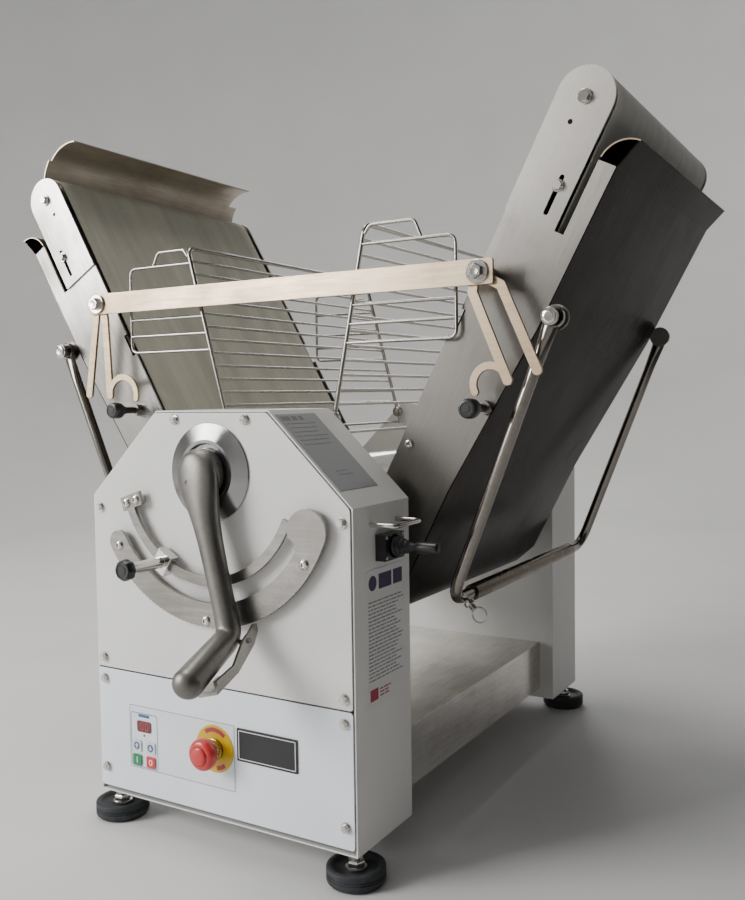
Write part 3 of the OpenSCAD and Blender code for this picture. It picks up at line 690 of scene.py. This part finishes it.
def make_feet():
    studs = bmesh.new()
    pads = bmesh.new()
    band = [(0, 0), (30.5, 0), (32, 0.5), (35, 4), (35.5, 5.6), (35.5, 9.6), (34.5, 10.1), (34.5, 10.9),
            (35.5, 11.4),
            (35.5, 12.7), (34.5, 13.2), (34.5, 14), (35.5, 14.5), (35.5, 18.6), (34.9, 20.3), (33, 21.5),
            (29.6, 21.5),
            (28.3, 20.7), (26.2, 17.4), (24, 16.5), (13, 15.5), (0, 15)]
    thread = [(0, -3)] + [(r, z - 3 + dz) for z in (i * 1.75 for i in range(13)) for r,
                          dz in ((5.3, 0), (6, 0.9))]
    for x in (-189, 189):
        for y in (23, 741):
            lathe_into(pads, at(x, y, -39), (0, 0, 1), band, 72)
            lathe_into(studs, at(x, y, -20), (0, 0, 1), thread + [(5.3, 20), (5.3, 42), (0, 42)], 28)
            hex_into(studs, at(x, y, -20), (0, 0, 1), 19, 8, 0.4)
            lathe_into(studs, at(x, y, -22.5), (0, 0, 1), [(0, 0), (13, 0), (13, 2), (12, 2.5), (0, 2.5)],
                       36)
            hex_into(studs, at(x, y, 2), (0, 0, 1), 17, 7, 0.1)
    place(finish_mesh("foot_pad_set", pads, "rubber"), "frame", "foot_rubber", "foot_pads")
    place(finish_mesh("foot_stud_set", studs, "bright"), "frame", "bright_steel", "foot_studs")


# ------------------------------------------------------------------ front plates, labels and controls
def bar(bm, x0, x1, z0, z1, y, place_at, thick=0.12):
    slab_into(bm, [(x0, z0), (x1, z0), (x1, z1), (x0, z1)], place_at, y, y + thick)


def frame_line(bm, x0, x1, z0, z1, radius, width, y, place_at, thick=0.12):
    """Adds a thin closed line with rounded corners."""
    outer = rounded_rect(x0, x1, z0, z1, radius)
    inner = rounded_rect(x0 + width, x1 - width, z0 + width, z1 - width, max(radius - width, 0.2))
    layers = [[bm.verts.new(place_at(x, level, z)) for x, z in ring]
              for level in (y, y + thick) for ring in (outer, inner)]
    n = len(outer)
    for first, second in ((0, 1), (1, 3), (3, 2), (2, 0)):
        for i in range(n):
            j = (i + 1) % n
            bm.faces.new((layers[first][i], layers[first][j], layers[second][j], layers[second][i]))


def disc_points(x, z, radius, steps=28, start=0, end=360):
    return [(x + radius * math.cos(math.radians(start + (end - start) * i / steps)),
             z + radius * math.sin(math.radians(start + (end - start) * i / steps))) for i in range(steps)]


def ink(name, bm, material, body="frame", slot="label_grey"):
    return place(finish_mesh(name, bm, material), body, slot)


def on_slope(x, y, z):
    """Label lengths on the slanted corner: x down the slope, y out of it, z along the depth."""
    slope = math.atan2(111.5, 116)
    down = Vector((math.cos(slope), 0, -math.sin(slope)))
    out = Vector((math.sin(slope), 0, math.cos(slope)))
    return at(89, 0, CABINET_TOP) + (down * x + out * y + Vector((0, 1, 0)) * z) * MM


def on_side(x, y, z):
    """Label lengths on the right side: x along the depth, y out of it, z up."""
    return at(HALF_WIDTH + y, x, z)


def text_lines(bm, x0, x1, rows, y, place_at, seed, height=1.5, down=False):
    """Adds rows of short bars that stand for small print."""
    draw = random.Random(seed)
    for row in rows:
        x = x0
        end = x1 - draw.random() * (x1 - x0) * 0.25
        while x < end:
            word = 3 + draw.random() * 9
            stop = min(x + word, end)
            if down:
                bar(bm, row, row + height, x, stop, y, place_at)
            else:
                bar(bm, x, stop, row, row + height, y, place_at)
            x = stop + 1.6


def make_labels():
    film = bmesh.new()
    slab_into(film, rounded_rect(-148, 30, 42, 127, 2), at, -0.5, 0)
    front = finish_mesh("control_film", film, "panel_film_blue_lit")
    place(front, "frame", "label_grey", "label_plates")
    slope = panel("slope_film", [(8, 7), (134, 7), (134, 90), (8, 90)], on_slope, 0, 0.6, "grey_film", 0.2)
    place(slope, "frame", "label_grey", "label_plates")
    side = panel("side_film", rounded_rect(27, 120, 164, 327, 2), on_side, 0, 0.5, "pale_film", 0.2)
    place(side, "frame", "label_grey", "label_plates")

    lines = bmesh.new()
    frame_line(lines, -147.3, 29.3, 42.7, 126.3, 1.6, 0.7, -0.62, at)
    ink("control_outline", lines, "soft_ink")
    lines = bmesh.new()
    frame_line(lines, -145.5, -98.5, 44.5, 117, 4, 0.9, -0.62, at)
    slab_into(lines, rounded_rect(-132, -112, 111.5, 115.5, 1.8), at, -0.7, -0.5)
    ink("key_outline", lines, "blue_ink")

    marks = bmesh.new()
    text_lines(marks, 14, 82, (24, 31, 38, 45, 52, 59), 0.6, on_slope, 11, 1.3, True)
    text_lines(marks, 30, 60, (104, 110), 0.6, on_slope, 12, 1.2, True)
    bar(marks, 12, 19, 12, 30, 0.6, on_slope)
    bar(marks, 12, 19, 34, 44, 0.6, on_slope)
    bar(marks, 12, 19, 48, 56, 0.6, on_slope)
    ink("slope_marks", marks, "soft_ink")

    marks = bmesh.new()
    text_lines(marks, 32, 114, [288 - 4.4 * i for i in range(22)], 0.5, on_side, 21, 1.7)
    ink("side_marks", marks, "soft_ink")
    marks = bmesh.new()
    slab_into(marks, disc_points(42, 311, 9), on_side, 0.5, 0.65)
    slab_into(marks, rounded_rect(56, 86, 302, 320, 1), on_side, 0.5, 0.65)
    slab_into(marks, rounded_rect(90, 112, 302, 320, 1), on_side, 0.5, 0.65)
    ink("side_symbols", marks, "purple_ink")
    marks = bmesh.new()
    slab_into(marks, rounded_rect(34, 52, 172, 186, 1), on_side, 0.5, 0.65)
    text_lines(marks, 56, 82, (174, 178, 182), 0.5, on_side, 5, 1.8)
    ink("side_red_mark", marks, "red_ink")


def make_display():
    window = panel("display_glass", rounded_rect(-134, -109, 92, 107, 3), at, -1.4, -0.4, "window", 0.3)
    place(window, "frame", "display_red", "display_window")
    digits = bmesh.new()
    for x in (-127.5, -119.5):
        for x0, x1, z0, z1 in ((0.8, 4.2, 9.2, 10), (0.8, 4.2, 0, 0.8), (0, 0.8, 0.8, 4.6),
                               (0, 0.8, 5.4, 9.2),
                               (4.2, 5, 0.8, 4.6), (4.2, 5, 5.4, 9.2)):
            bar(digits, x + x0, x + x1, 94.5 + z0, 94.5 + z1, -1.5, at)
    ink("display_digits", digits, "segment", slot="display_red")
    lamp = bmesh.new()
    slab_into(lamp, disc_points(-122, 87.5, 1.4), at, -0.9, -0.5)
    ink("display_lamp", lamp, "ink", slot="black_plastic")


def make_brand_plate():
    plate = panel("blank_plate", rounded_rect(34, 125, 84, 125, 1.5), at, -1.6, 0, "black", 0.35)
    place(plate, "frame", "black_plastic", "brand_plate")
    border = bmesh.new()
    frame_line(border, 36.6, 122.4, 86.6, 122.4, 1.2, 1.0, -1.72, at)
    ink("plate_border", border, "white_ink", slot="black_plastic")


def make_keys():
    keys = {
        "button_up": (-134, 73, "pale_film", "key_blue"),
        "button_down": (-110, 73, "pale_film", "key_blue"),
        "button_start": (-134, 54, "key_green", "key_green"),
        "button_stop": (-110, 54, "key_red", "button_red"),
    }
    for name, (x, z, material, slot) in keys.items():
        cap = panel(name + "_cap", rounded_rect(x - 8, x + 7.5, z - 7.5, z + 7.5, 2.2), at, -2.2, -1.35,
                    material, 0.3)
        place(cap, name, slot, name)
        x -= 0.25
        sign = bmesh.new()
        if "up" in name or "down" in name:
            slab_into(sign, disc_points(x, z, 5.2), at, -2.32, -2.2)
            ink(name + "_ring", sign, "blue_ink", name, slot)
            sign = bmesh.new()
            s = 1 if "up" in name else -1
            slab_into(sign, [(x - 3, z), (x, z + s * 3.6), (x + 3, z)], at, -2.42, -2.32)
            bar(sign, x - 1, x + 1, min(z, z - s * 3), max(z, z - s * 3), -2.42, at, 0.1)
            ink(name + "_arrow", sign, "white_ink", name, slot)
        elif "start" in name:
            bar(sign, x - 0.8, x + 0.8, z - 4, z + 4, -2.32, at)
            ink(name + "_mark", sign, "white_ink", name, slot)
        else:
            frame_line(sign, x - 3, x + 3, z - 4, z + 4, 2.9, 1.4, -2.32, at)
            ink(name + "_mark", sign, "white_ink", name, slot)


def make_estop():
    x, z = ESTOP
    disc = lathe("estop_plate", at(x, 0, z), FRONT,
                 [(14, 0), (30, 0), (30, 1.1), (29.6, 1.5), (14, 1.5), (14, 0)], "yellow", 96)
    place(disc, "frame", "disc_yellow", "estop_disc")
    marks = bmesh.new()
    for start, end in ((48, 132), (226, 262), (278, 314)):
        outer = disc_points(x, z, 27, 14, start, end)
        inner = disc_points(x, z, 21.5, 14, start, end)
        slab_into(marks, outer + inner[::-1], at, -1.62, -1.5)
    ink("estop_marks", marks, "red_ink", slot="disc_yellow")
    collar = turned_grip("estop_ring", "brass", ESTOP,
                         [(8.3, 0), (13.2, 0), (14, 0.8), (14, 4.5), (12.6, 5.2), (12.6, 6.2), (14, 7),
                          (14, 10.8), (13, 12), (8.3, 12), (8.3, 0)], 72,
                         lambda radius, i: 0.9 if radius == 14 and i % 3 == 0 else 0)
    place(collar, "frame", "collar_brass", "estop_collar")
    cap = [(0, 16.6), (14.4, 16.6), (17.6, 17.8), (19.6, 19.8), (20, 22.2), (19.7, 25), (18.6, 27.6),
           (16.6, 29.4),
           (14, 30.6), (12.8, 30.7), (12.4, 30.2), (11.9, 30.2), (11.6, 31.2), (10.6, 32.6), (9, 33.3),
           (5, 33.8), (0, 34)]
    mushroom = lathe("estop_mushroom", at(x, 0, z), FRONT, cap, "red", 96)
    place(mushroom, "estop_button", "button_red", "estop_button")
    stem = lathe("estop_stem", at(x, 0, z), FRONT,
                 [(0, 6), (8, 6), (8, 13), (7.4, 13.6), (7.4, 16), (0, 16.8)], "black", 48)
    place(stem, "estop_button", "black_plastic")


# ------------------------------------------------------------------ right side: handle and joystick
def make_side():
    handle = bmesh.new()
    tube_into(handle, rounded([at(204, 39, 380), at(239, 39, 380), at(239, 100, 380), at(204, 100, 380)],
                              8), 3, 16)
    place(finish_mesh("side_handle_wire", handle, "bright"), "frame", "bright_steel", "side_handle")
    refine("joystick_housing", "frame", "black_plastic", "black", 0.0012, 3)
    screws = bmesh.new()
    for y, z in ((53.5, 339.5), (91.5, 339.5), (53.5, 363.5), (91.5, 363.5)):
        lathe_into(screws, at(219, y, z), (1, 0, 0),
                   [(0, 0), (2, 0), (1.9, 0.5), (1.2, 0.8), (1.1, 0.3), (0, 0.3)], 20)
    place(finish_mesh("housing_screws", screws, "bright"), "frame", "bright_steel")
    boot = [(0, 15.4), (11.5, 15.4), (11.8, 16), (11.6, 16.8), (10.8, 17.6), (10.3, 18.5), (11, 19.5),
            (11.2, 20.6),
            (10.5, 21.8), (9.3, 22.8), (8.9, 23.8), (9.6, 24.8), (9.7, 26), (9, 27.2), (7.9, 28.2),
            (7.5, 29.2),
            (8, 30.2), (8, 31.6), (7.3, 32.8), (5.9, 34.4), (5.3, 36.2), (5, 38), (4.8, 43.8), (0, 44)]
    knob = [(0, 43.6), (5.8, 43.8), (6.6, 44.5), (6.9, 46), (6.9, 68.4), (6.5, 70.2), (5.4, 71.3),
            (3.2, 71.8), (0, 71.8)]
    centre = at(HALF_WIDTH, 72, 352)
    place(lathe("joystick_boot", centre, (1, 0, 0), boot, "boot", 56), "joystick", "black_plastic",
          "joystick")
    place(lathe("joystick_grip", centre, (1, 0, 0), knob, "black", 56), "joystick", "black_plastic")
    spindle = lathe("joystick_spindle", centre, (1, 0, 0),
                    [(0, 3.2), (3, 3.8), (5.4, 6.4), (6, 9), (5.6, 11), (5, 12.4), (5, 15.5), (0, 15.6)],
                    "boot", 32)
    place(spindle, "joystick", "black_plastic")


# ------------------------------------------------------------------ hub, sector and stop
def make_hub():
    profile = [(20, 0), (61, 0), (61, 1.4), (60.5, 2.1), (59.4, 2.5), (41.6, 8.6), (40.6, 9), (36.8, 9),
               (36, 8.5),
               (34.6, 4.4), (30.6, 4.4), (29.2, 8), (20, 8), (20, 0)]
    bm = bmesh.new()
    lathe_into(bm, at(0, 0, HUB_Z), FRONT, profile, 128)
    bmesh.ops.remove_doubles(bm, verts=bm.verts, dist=WELD)
    place(finish_mesh("hub_cone", bm, "hub", 20), "frame", "polished_hub", "hub_flange")
    refine("index_sector", "frame", "stainless", "steel", 0.0004)
    ticks = bmesh.new()
    for i in range(34):
        a = math.radians(-64 + i)
        radial = Vector((math.cos(a), 0, math.sin(a)))
        across = Vector((-math.sin(a), 0, math.cos(a))) * 0.28
        inner = 178 if i % 5 else 172
        points = [(radial * r + across * s) for r, s in ((inner, -1), (187, -1), (187, 1), (inner, 1))]
        slab_into(ticks, [(p.x, HUB_Z + p.z) for p in points], at, -12.06, -11.95)
    ink("sector_ticks", ticks, "soft_ink", slot="stainless")
    fixings = bmesh.new()
    for a, r in ((-146, 176), (-34.5, 178), (-90.5, 182), (-162, 138), (-162, 121)):
        x = r * math.cos(math.radians(a))
        z = HUB_Z + r * math.sin(math.radians(a))
        lathe_into(fixings, at(x, 0, z), FRONT, [(0, 0), (7, 0), (7, 6.6), (6.6, 7), (4, 7), (4, 12),
                                                 (0, 12)], 32)
        lathe_into(fixings, at(x, -12, z), FRONT,
                   [(0, 0), (6.5, 0), (6.5, 0.6), (5.8, 1.8), (4.6, 2.6), (3, 3), (2.6, 3), (2.4, 1.4),
                    (0, 1.4)], 32)
    place(finish_mesh("sector_bolts", fixings, "bright"), "frame", "bright_steel", "sector_fixings")
    refine("stop_clamp", "stop_clamp", "bright_steel", "bright", 0.0015, 3)
    angle = math.radians(-121)
    x, z = 133 * math.cos(angle), HUB_Z + 133 * math.sin(angle)
    knob = turned_grip("stop_knob_grip", "black", (x, z),
                       [(0, 70.2), (8, 70.2), (11.2, 71), (13, 73), (13.5, 76), (13.3, 80), (12, 82.8),
                        (10.4, 84), (8.6, 84), (8.2, 83.2), (5.4, 83.2), (5, 83.8), (0, 84)], 64,
                       lambda radius, i: 0.9 * (0.5 - 0.5 * math.cos(2 * math.pi * i / 64 * 8))
                       if radius > 10.5 else 0)
    place(knob, "stop_knob", "black_plastic", "stop_knob")


# ------------------------------------------------------------------ lever
def make_lever():
    arm = [(-29.4, -23, 2, 1), (-28.4, -23, 8, 4.5), (-26, -23, 13.5, 7.5), (-21, -23.2, 19.8, 10),
           (-13, -23.4, 25.8, 12.4),
           (-3, -23.8, 29.4, 13.8), (8, -24.4, 29.8, 14.4), (19, -25, 28, 14.6), (31, -25.8, 24.8, 14.6),
           (45, -26.6, 21.2, 14.4), (62, -27.4, 18.2, 14), (85, -28.2, 16.2, 13.6),
           (115, -29.2, 15.2, 13.2),
           (145, -30.2, 14.8, 13), (170, -31, 15, 13.4), (183, -31.6, 15.4, 14)]
    lean = math.radians(22)
    grip = Vector((math.sin(lean), -math.cos(lean)))
    stations = [(Vector((a, y)), wt, wy) for a, y, wt, wy in arm]
    corner = Vector((197, -32.2))
    for i in range(1, 7):
        t = i / 7
        start, end = Vector((183, -31.6)), corner + grip * 14
        stations.append((start * (1 - t) ** 2 + corner * 2 * t * (1 - t) + end * t * t, 15.4 + 0.6 * t,
                         14 + 1.6 * t))
    for along, radius in ((14, 16), (30, 16.2), (50, 16.8), (72, 17.6), (90, 18)):
        stations.append((corner + grip * along, radius, radius))
    for i in range(1, 10):
        a = math.radians(10 * i)
        stations.append((corner + grip * (90 + 17 * math.sin(a)), 18 * math.cos(a) + 0.3,
                         18 * math.cos(a) + 0.3))
    bm = bmesh.new()
    sides = 40
    n = len(stations)
    rings = []
    for i, (point, wt, wy) in enumerate(stations):
        tangent = (stations[min(i + 1, n - 1)][0] - stations[max(i - 1, 0)][0]).normalized()
        normal = Vector((-tangent.y, tangent.x))
        ring = []
        for k in range(sides):
            angle = 2 * math.pi * k / sides
            offset = normal * wy * math.sin(angle)
            ring.append(bm.verts.new(on_lever(point.x + offset.x, point.y + offset.y,
                                              wt * math.cos(angle))))
        rings.append(ring)
    skin(bm, rings, capped=True)
    lathe_into(bm, on_lever(0, -9.5, 0), FRONT, [(0, 0), (29, 0), (30, 0.8), (30, 13), (29, 17), (25, 20),
                                                 (0, 21)], 72)
    pin = on_lever(207, -28, 8) - on_lever(0, 0, 0)
    lathe_into(bm, on_lever(0, 0, 0) + pin, on_lever(0, 0, 1) - on_lever(0, 0, 0),
               [(0, 0), (3, 0), (3, 16.4), (2.4, 17), (0, 17)], 28)
    lever = finish_mesh("lever_casting", bm, "cast", 46)
    place(lever, "lever", "cast_lever", "lever")
    holes = bmesh.new()
    out = (on_lever(0, 0, 1) - on_lever(0, 0, 0)).normalized()
    lathe_into(holes, on_lever(8, -38.4, -6), FRONT,
               [(0, 0), (2.6, 0), (2.8, 0.25), (2.2, 0.3), (2, 0.1), (0, 0.1)], 24)
    lathe_into(holes, on_lever(-3, -19, 29.4), out,
               [(0, 0), (2.6, 0), (2.8, 0.5), (2.2, 0.5), (2, 0.2), (0, 0.2)], 24)
    place(finish_mesh("lever_grub_screws", holes, "ink"), "lever", "black_plastic")
    refine("lever_shaft", "lever", "bright_steel", "bright", 0.0006)
    refine("trigger", "trigger", "bright_steel", "steel", 0.0006)


# ------------------------------------------------------------------ rollers and inner parts
def make_inside():
    for node in ("lower_roller", "upper_roller"):
        refine(node, node, "bright_steel", "bright", 0.0012, 3)
    refine("roller_carriage", "carriage", "machine_iron", "iron", 0.0008)
    refine("bearing_blocks", "frame", "machine_iron", "iron", 0.0008)
    refine("scrapers", "frame", "stainless", "steel", 0.0004)
    refine("drive_motor", "frame", "machine_iron", "iron", 0.0015, 3)
    refine("pivot_pins", "frame", "bright_steel", "bright", 0.0008)


# ------------------------------------------------------------------ folding tables
def table_hex(bm, side, u, y, w, across, height, washer, washer_t=1.6, turn=0.3):
    """Adds a washer and a hexagon head on the front of a table, reaching towards -y."""
    base = on_table(side, u, y, w)
    front = Vector((0, -1, 0))
    lathe_into(bm, base, front, [(0, 0), (washer, 0), (washer, washer_t - 0.4), (washer - 0.4, washer_t),
                                 (0, washer_t)], 44)
    hex_into(bm, base + front * washer_t * MM, front, across, height, turn)
    top = base + front * (washer_t + height) * MM
    lathe_into(bm, top, front, [(across * 0.37, 0), (across * 0.35, 0.5), (across * 0.12, 0.3), (0, 0.3)],
               28)


def make_tables():
    for side in ("right", "left"):
        body = "table_" + side
        refine("table_plates_" + side, body, "stainless", "plate_" + side, 0.0004)
        refine("table_pan_" + side, body, "polished_pan", "pan_" + side, 0.0004)
        refine("belt_" + side, body, "belt_pale" if side == "right" else "belt_grey", "belt_" + side,
               0.0006)
        refine("drive_roller_" + side, "drive_roller_" + side, "drum_rubber", "drum", 0.001, 3)
        refine("nose_roller_" + side, "nose_roller_" + side, "bright_steel", "bright", 0.001, 3)
        heads = bmesh.new()
        table_hex(heads, side, LUG[0], 128, LUG[1], 15, 2.6, 10.5, 1.2)
        table_hex(heads, side, 540, 147.1, 7, 10.2, 3.2, 7.4, 1.8, 0.7)
        lathe_into(heads, on_table(side, 186, TABLE_FRONT, 46), FRONT,
                   [(0, 0), (6.4, 0), (6.3, 0.9), (5.6, 1.9), (4.2, 2.6), (2.4, 3), (2.1, 2.9), (1.9, 1.6),
                    (0, 1.6)], 32)
        lathe_into(heads, on_table(side, NOSE_U, 146.2, ROLLER_W), FRONT,
                   [(8, 0), (8.6, 0), (8.6, 1.4), (8, 1.8), (8, 0)], 44)
        bmesh.ops.remove_doubles(heads, verts=heads.verts, dist=WELD)
        place(finish_mesh("lug_bolt_" + side, heads, "bright"), body, "bright_steel")
        # Bare cut edge of the pan's rolled end
        edge = bmesh.new()
        outer = disc_points(582, -58, 35, 13, 0, 91)
        inner = disc_points(582, -58, 33.4, 13, 0, 91)
        slab_into(edge, outer + inner[::-1], lambda u, y, w: on_table(side, u, y, w), 149.75, 150.05)
        place(finish_mesh("pan_edge_" + side, edge, "warm"), body, "polished_pan")
    make_knobs()
    make_supports()
    make_tray()
    make_lanyard()


KNOB_AT = {"right": (303, 513), "left": (265, 513)}


def make_knobs():
    grip = [(0, 0), (8.6, 0), (10.4, 0.8), (11.6, 2.4), (12, 5), (12, 12), (11.6, 15), (10.4, 17.2),
            (8.8, 18), (7.8, 18),
            (7.4, 17.4), (4.8, 17.4), (4.4, 17.8), (0, 18)]
    for side, (x, z) in KNOB_AT.items():
        x *= SIDE[side]
        body = "knob_" + side
        node = "table_knob_" + side
        cap = lathe(node + "_cap", at(x, 112, z), FRONT, grip, "black", 64)
        place(cap, body, "black_plastic", node)
        stem = lathe(node + "_stem", at(x, 156, z), FRONT,
                     [(0, 0), (4.2, 0), (5, 0.8), (5, 36), (6.6, 37), (6.6, 44), (0, 44.2)], "black", 36)
        place(stem, body, "black_plastic")


def make_supports():
    for side in ("right", "left"):
        points = [(398, 141, -59), (43, 141, -97), (43, 635, -97), (398, 635, -59)]
        path = rounded([on_table(side, u, y, w) for u, y, w in points], 34, 12)
        # More points in the straight stretches, so that the flattened ends stay short
        dense = [path[0]]
        for a, b in zip(path, path[1:]):
            cuts = max(1, int((b - a).length / 0.012))
            dense += [a.lerp(b, (i + 1) / cuts) for i in range(cuts)]

        def flatten(i, n):
            reach = min(i, n - 1 - i)
            share = max(0.0, 1 - reach / 3.5)
            return 1 - 0.46 * share, 1 + 0.30 * share

        bm = bmesh.new()
        tube_into(bm, dense, 7.5, 24, flatten)
        for y in (141, 635):
            lathe_into(bm, on_table(side, LUG[0], y - 4, LUG[1]), (0, 1, 0),
                       [(6.2, 0), (12.2, 0), (13, 0.9), (13, 7.1), (12.2, 8), (6.2, 8), (6.2, 0)], 48)
        bmesh.ops.remove_doubles(bm, verts=bm.verts, dist=WELD)
        tube = finish_mesh("support_tube_" + side, bm, "tube")
        place(tube, "support_" + side, "tube_steel", "support_" + side)
        sleeve = lathe("support_sleeve_" + side, on_table(side, 43, 201, -97), (0, 1, 0),
                       [(7.6, 0), (9.8, 0), (10.5, 0.8), (10.5, 373.2), (9.8, 374), (7.6, 374), (7.6, 0)],
                       "sleeve", 48)
        place(sleeve, "support_" + side, "tube_steel")


def make_tray():
    refine("end_tray", "end_tray", "tray_taupe", "tray", 0.0005)


def make_lanyard():
    tilt = math.radians(197.5)
    base = on_table("right", 43, 177, -97)
    axis = (on_table("right", 43 + math.sin(tilt), 177, -97 + math.cos(tilt)) - base).normalized()
    bm = bmesh.new()
    lathe_into(bm, base, axis, [(0, -12), (3.2, -12), (4, -11), (4, 8.6), (6.4, 9), (7, 9.6), (7, 13.2),
                                (6.4, 14), (4.4, 14.2),
                                (3.6, 15), (3.6, 19.6), (4, 20.4), (4, 22), (0, 22)], 40)
    for i in range(4):
        ring = base + axis * (15.6 + i * 1.2) * MM
        lathe_into(bm, ring, axis, [(3.8, 0), (4.5, 0.3), (4.5, 0.6), (3.8, 0.9)], 24)
    centre = base + axis * 31 * MM
    side, up = axis, axis.cross(Vector((0, 1, 0))).normalized()
    loop = [centre + (side * math.cos(a) + up * math.sin(a)) * 10 * MM
            + Vector((0, 1, 0)) * (a - math.pi) * 0.35 * MM
            for a in (2 * math.pi * (i / 44) for i in range(47))]
    tube_into(bm, loop, 1.1, 10)
    place(finish_mesh("lanyard_pin_set", bm, "bright"), "lanyard_pin", "bright_steel", "lanyard_pin")


# ------------------------------------------------------------------ link bar, hooks and guards
def make_link():
    refine("link_bar", "link", "stainless", "warm", 0.0004, corner=3.0)
    refine("hook_right", "hook_right", "stainless", "warm", 0.0004)
    refine("hook_left", "hook_left", "stainless", "warm", 0.0004)
    pin = bmesh.new()
    lathe_into(pin, at(-BAR_X, 124, BAR_Z), FRONT, [(0, 0), (6, 0), (6, 10), (0, 10)], 36)
    lathe_into(pin, at(-BAR_X, 114.5, BAR_Z), FRONT, [(0, 0), (14, 0), (14, 2.4), (13.4, 3), (0, 3)], 56)
    hex_into(pin, at(-BAR_X, 111.5, BAR_Z), FRONT, 16, 7.2, 0.2)
    lathe_into(pin, at(-BAR_X, 104.3, BAR_Z), FRONT, [(5.6, 0), (5.2, 0.7), (1.6, 0.4), (0, 0.4)], 32)
    place(finish_mesh("bar_pin_head", pin, "bright"), "table_left", "bright_steel", "bar_pin")
    bolt = bmesh.new()
    lathe_into(bolt, at(BAR_X, 127.5, BAR_Z), FRONT, [(0, 0), (6, 0), (6, 13.5), (0, 13.5)], 36)
    lathe_into(bolt, at(BAR_X, 115, BAR_Z), FRONT, [(0, 0), (14, 0), (14, 1.9), (13.4, 2.5), (0, 2.5)], 56)
    hex_into(bolt, at(BAR_X, 112.5, BAR_Z), FRONT, 16, 7.2, 0.5)
    lathe_into(bolt, at(BAR_X, 105.3, BAR_Z), FRONT, [(5.6, 0), (5.2, 0.7), (1.6, 0.4), (0, 0.4)], 32)
    lathe_into(bolt, at(BAR_X, 128.5, BAR_Z), FRONT,
               [(0, 0), (9.4, 0), (10, 0.8), (10, 4), (9.4, 4.6), (0, 4.6)], 44)
    place(finish_mesh("bar_bolt_head", bolt, "bright"), "link", "bright_steel", "bar_bolt")


def make_guard(side, lean_degrees, length):
    lean = math.radians(lean_degrees)
    s = SIDE[side]
    gx, gz, px = 90, 500, 268
    top = gz + length * math.cos(lean)
    fx = gx + length * math.sin(lean)
    front, rear = 143, 633
    bm = bmesh.new()

    def at_v(v, y):
        return at(s * (gx + v * math.sin(lean)), y, gz + v * math.cos(lean))

    hoop = [at_v(-22, front), at_v(length, front), at_v(length, rear), at_v(-22, rear)]
    tube_into(bm, rounded(hoop, 14, 8), 3, 14)
    for i in range(-1, 13):
        if i:
            v = i * length / 13
            tube_into(bm, [at_v(v, front - 1), at_v(v, rear + 1)], 1.9, 12)
    levels = [598, 622, 646, 685, 722]
    for y in (front, rear):
        lathe_into(bm, at(s * gx, y - 3.5, gz), (0, 1, 0),
                   [(4.1, 0), (8.4, 0), (9, 0.6), (9, 6.4), (8.4, 7), (4.1, 7), (4.1, 0)], 36)

        def rim(z):
            return at(s * (gx + (z - gz) * math.tan(lean)), y, z)

        loop = [rim(levels[0]), at(s * px, y, levels[0]), at(s * px, y, levels[4]), rim(levels[4])]
        tube_into(bm, rounded(loop, 12, 8), 2.2, 12)
        for z in levels[1:4]:
            tube_into(bm, [rim(z), at(s * px, y, z)], 2.2, 12)
        brace = [at(s * fx, y, top - 12), at(s * (fx + 8), y, top - 1.5), at(s * 212, y, top - 1.5),
                 at(s * 222, y, levels[4])]
        tube_into(bm, rounded(brace, 9, 7), 2.2, 12)
    bmesh.ops.remove_doubles(bm, verts=bm.verts, dist=1e-7)
    body = "guard_" + side
    place(finish_mesh(body + "_wires", bm, "wire", 60), body, "bright_steel", body)


# ------------------------------------------------------------------ build it all
def make_floor():
    bm = bmesh.new()
    bowl = [(0, 0), (2900, 0)] + arc((2900, 1500), 1500, -90, 0, 14)[1:] + [(4400, 4600)]
    lathe_into(bm, Vector((0, 0, 0)), (0, 0, 1), bowl, 128)
    floor = finish_mesh("floor", bm, "floor", 80)
    # A dark studio screen beside the object, which only keeps light off its right side
    bm = bmesh.new()
    slab_into(bm, [(1500, 30), (1520, 30), (1520, 3000), (1500, 3000)], lambda x, y,
              z: Vector((x, y, z)) * MM, -3000, 2400)
    screen = finish_mesh("screen", bm, "screen", 80)
    screen.visible_camera = False
    screen.visible_shadow = False


def floor_finish():
    f = Finish("studio_floor", (0.72, 0.72, 0.71), 0.6)
    cloud = f.noise(3, 3)
    f.color(f.tint(cloud, (0.70, 0.70, 0.695), (0.735, 0.735, 0.73)))
    return f.material


MATS["floor"] = floor_finish()
MATS["screen"] = plastic("studio_screen", (0.015, 0.015, 0.015), 0.8)
make_camera()
make_lights()
make_floor()
make_cabinets()
make_feet()
make_labels()
make_display()
make_brand_plate()
make_keys()
make_estop()
make_side()
make_hub()
make_lever()
make_inside()
make_tables()
make_link()
GUARD_TOP = {side: (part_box("guard_" + side)[1][2] - at(0, 0, 500).z) / MM - 3 for side in SIDE}
for guard_side, guard_lean in (("right", 11.6), ("left", 15.0)):
    make_guard(guard_side, guard_lean, GUARD_TOP[guard_side] / math.cos(math.radians(guard_lean)))
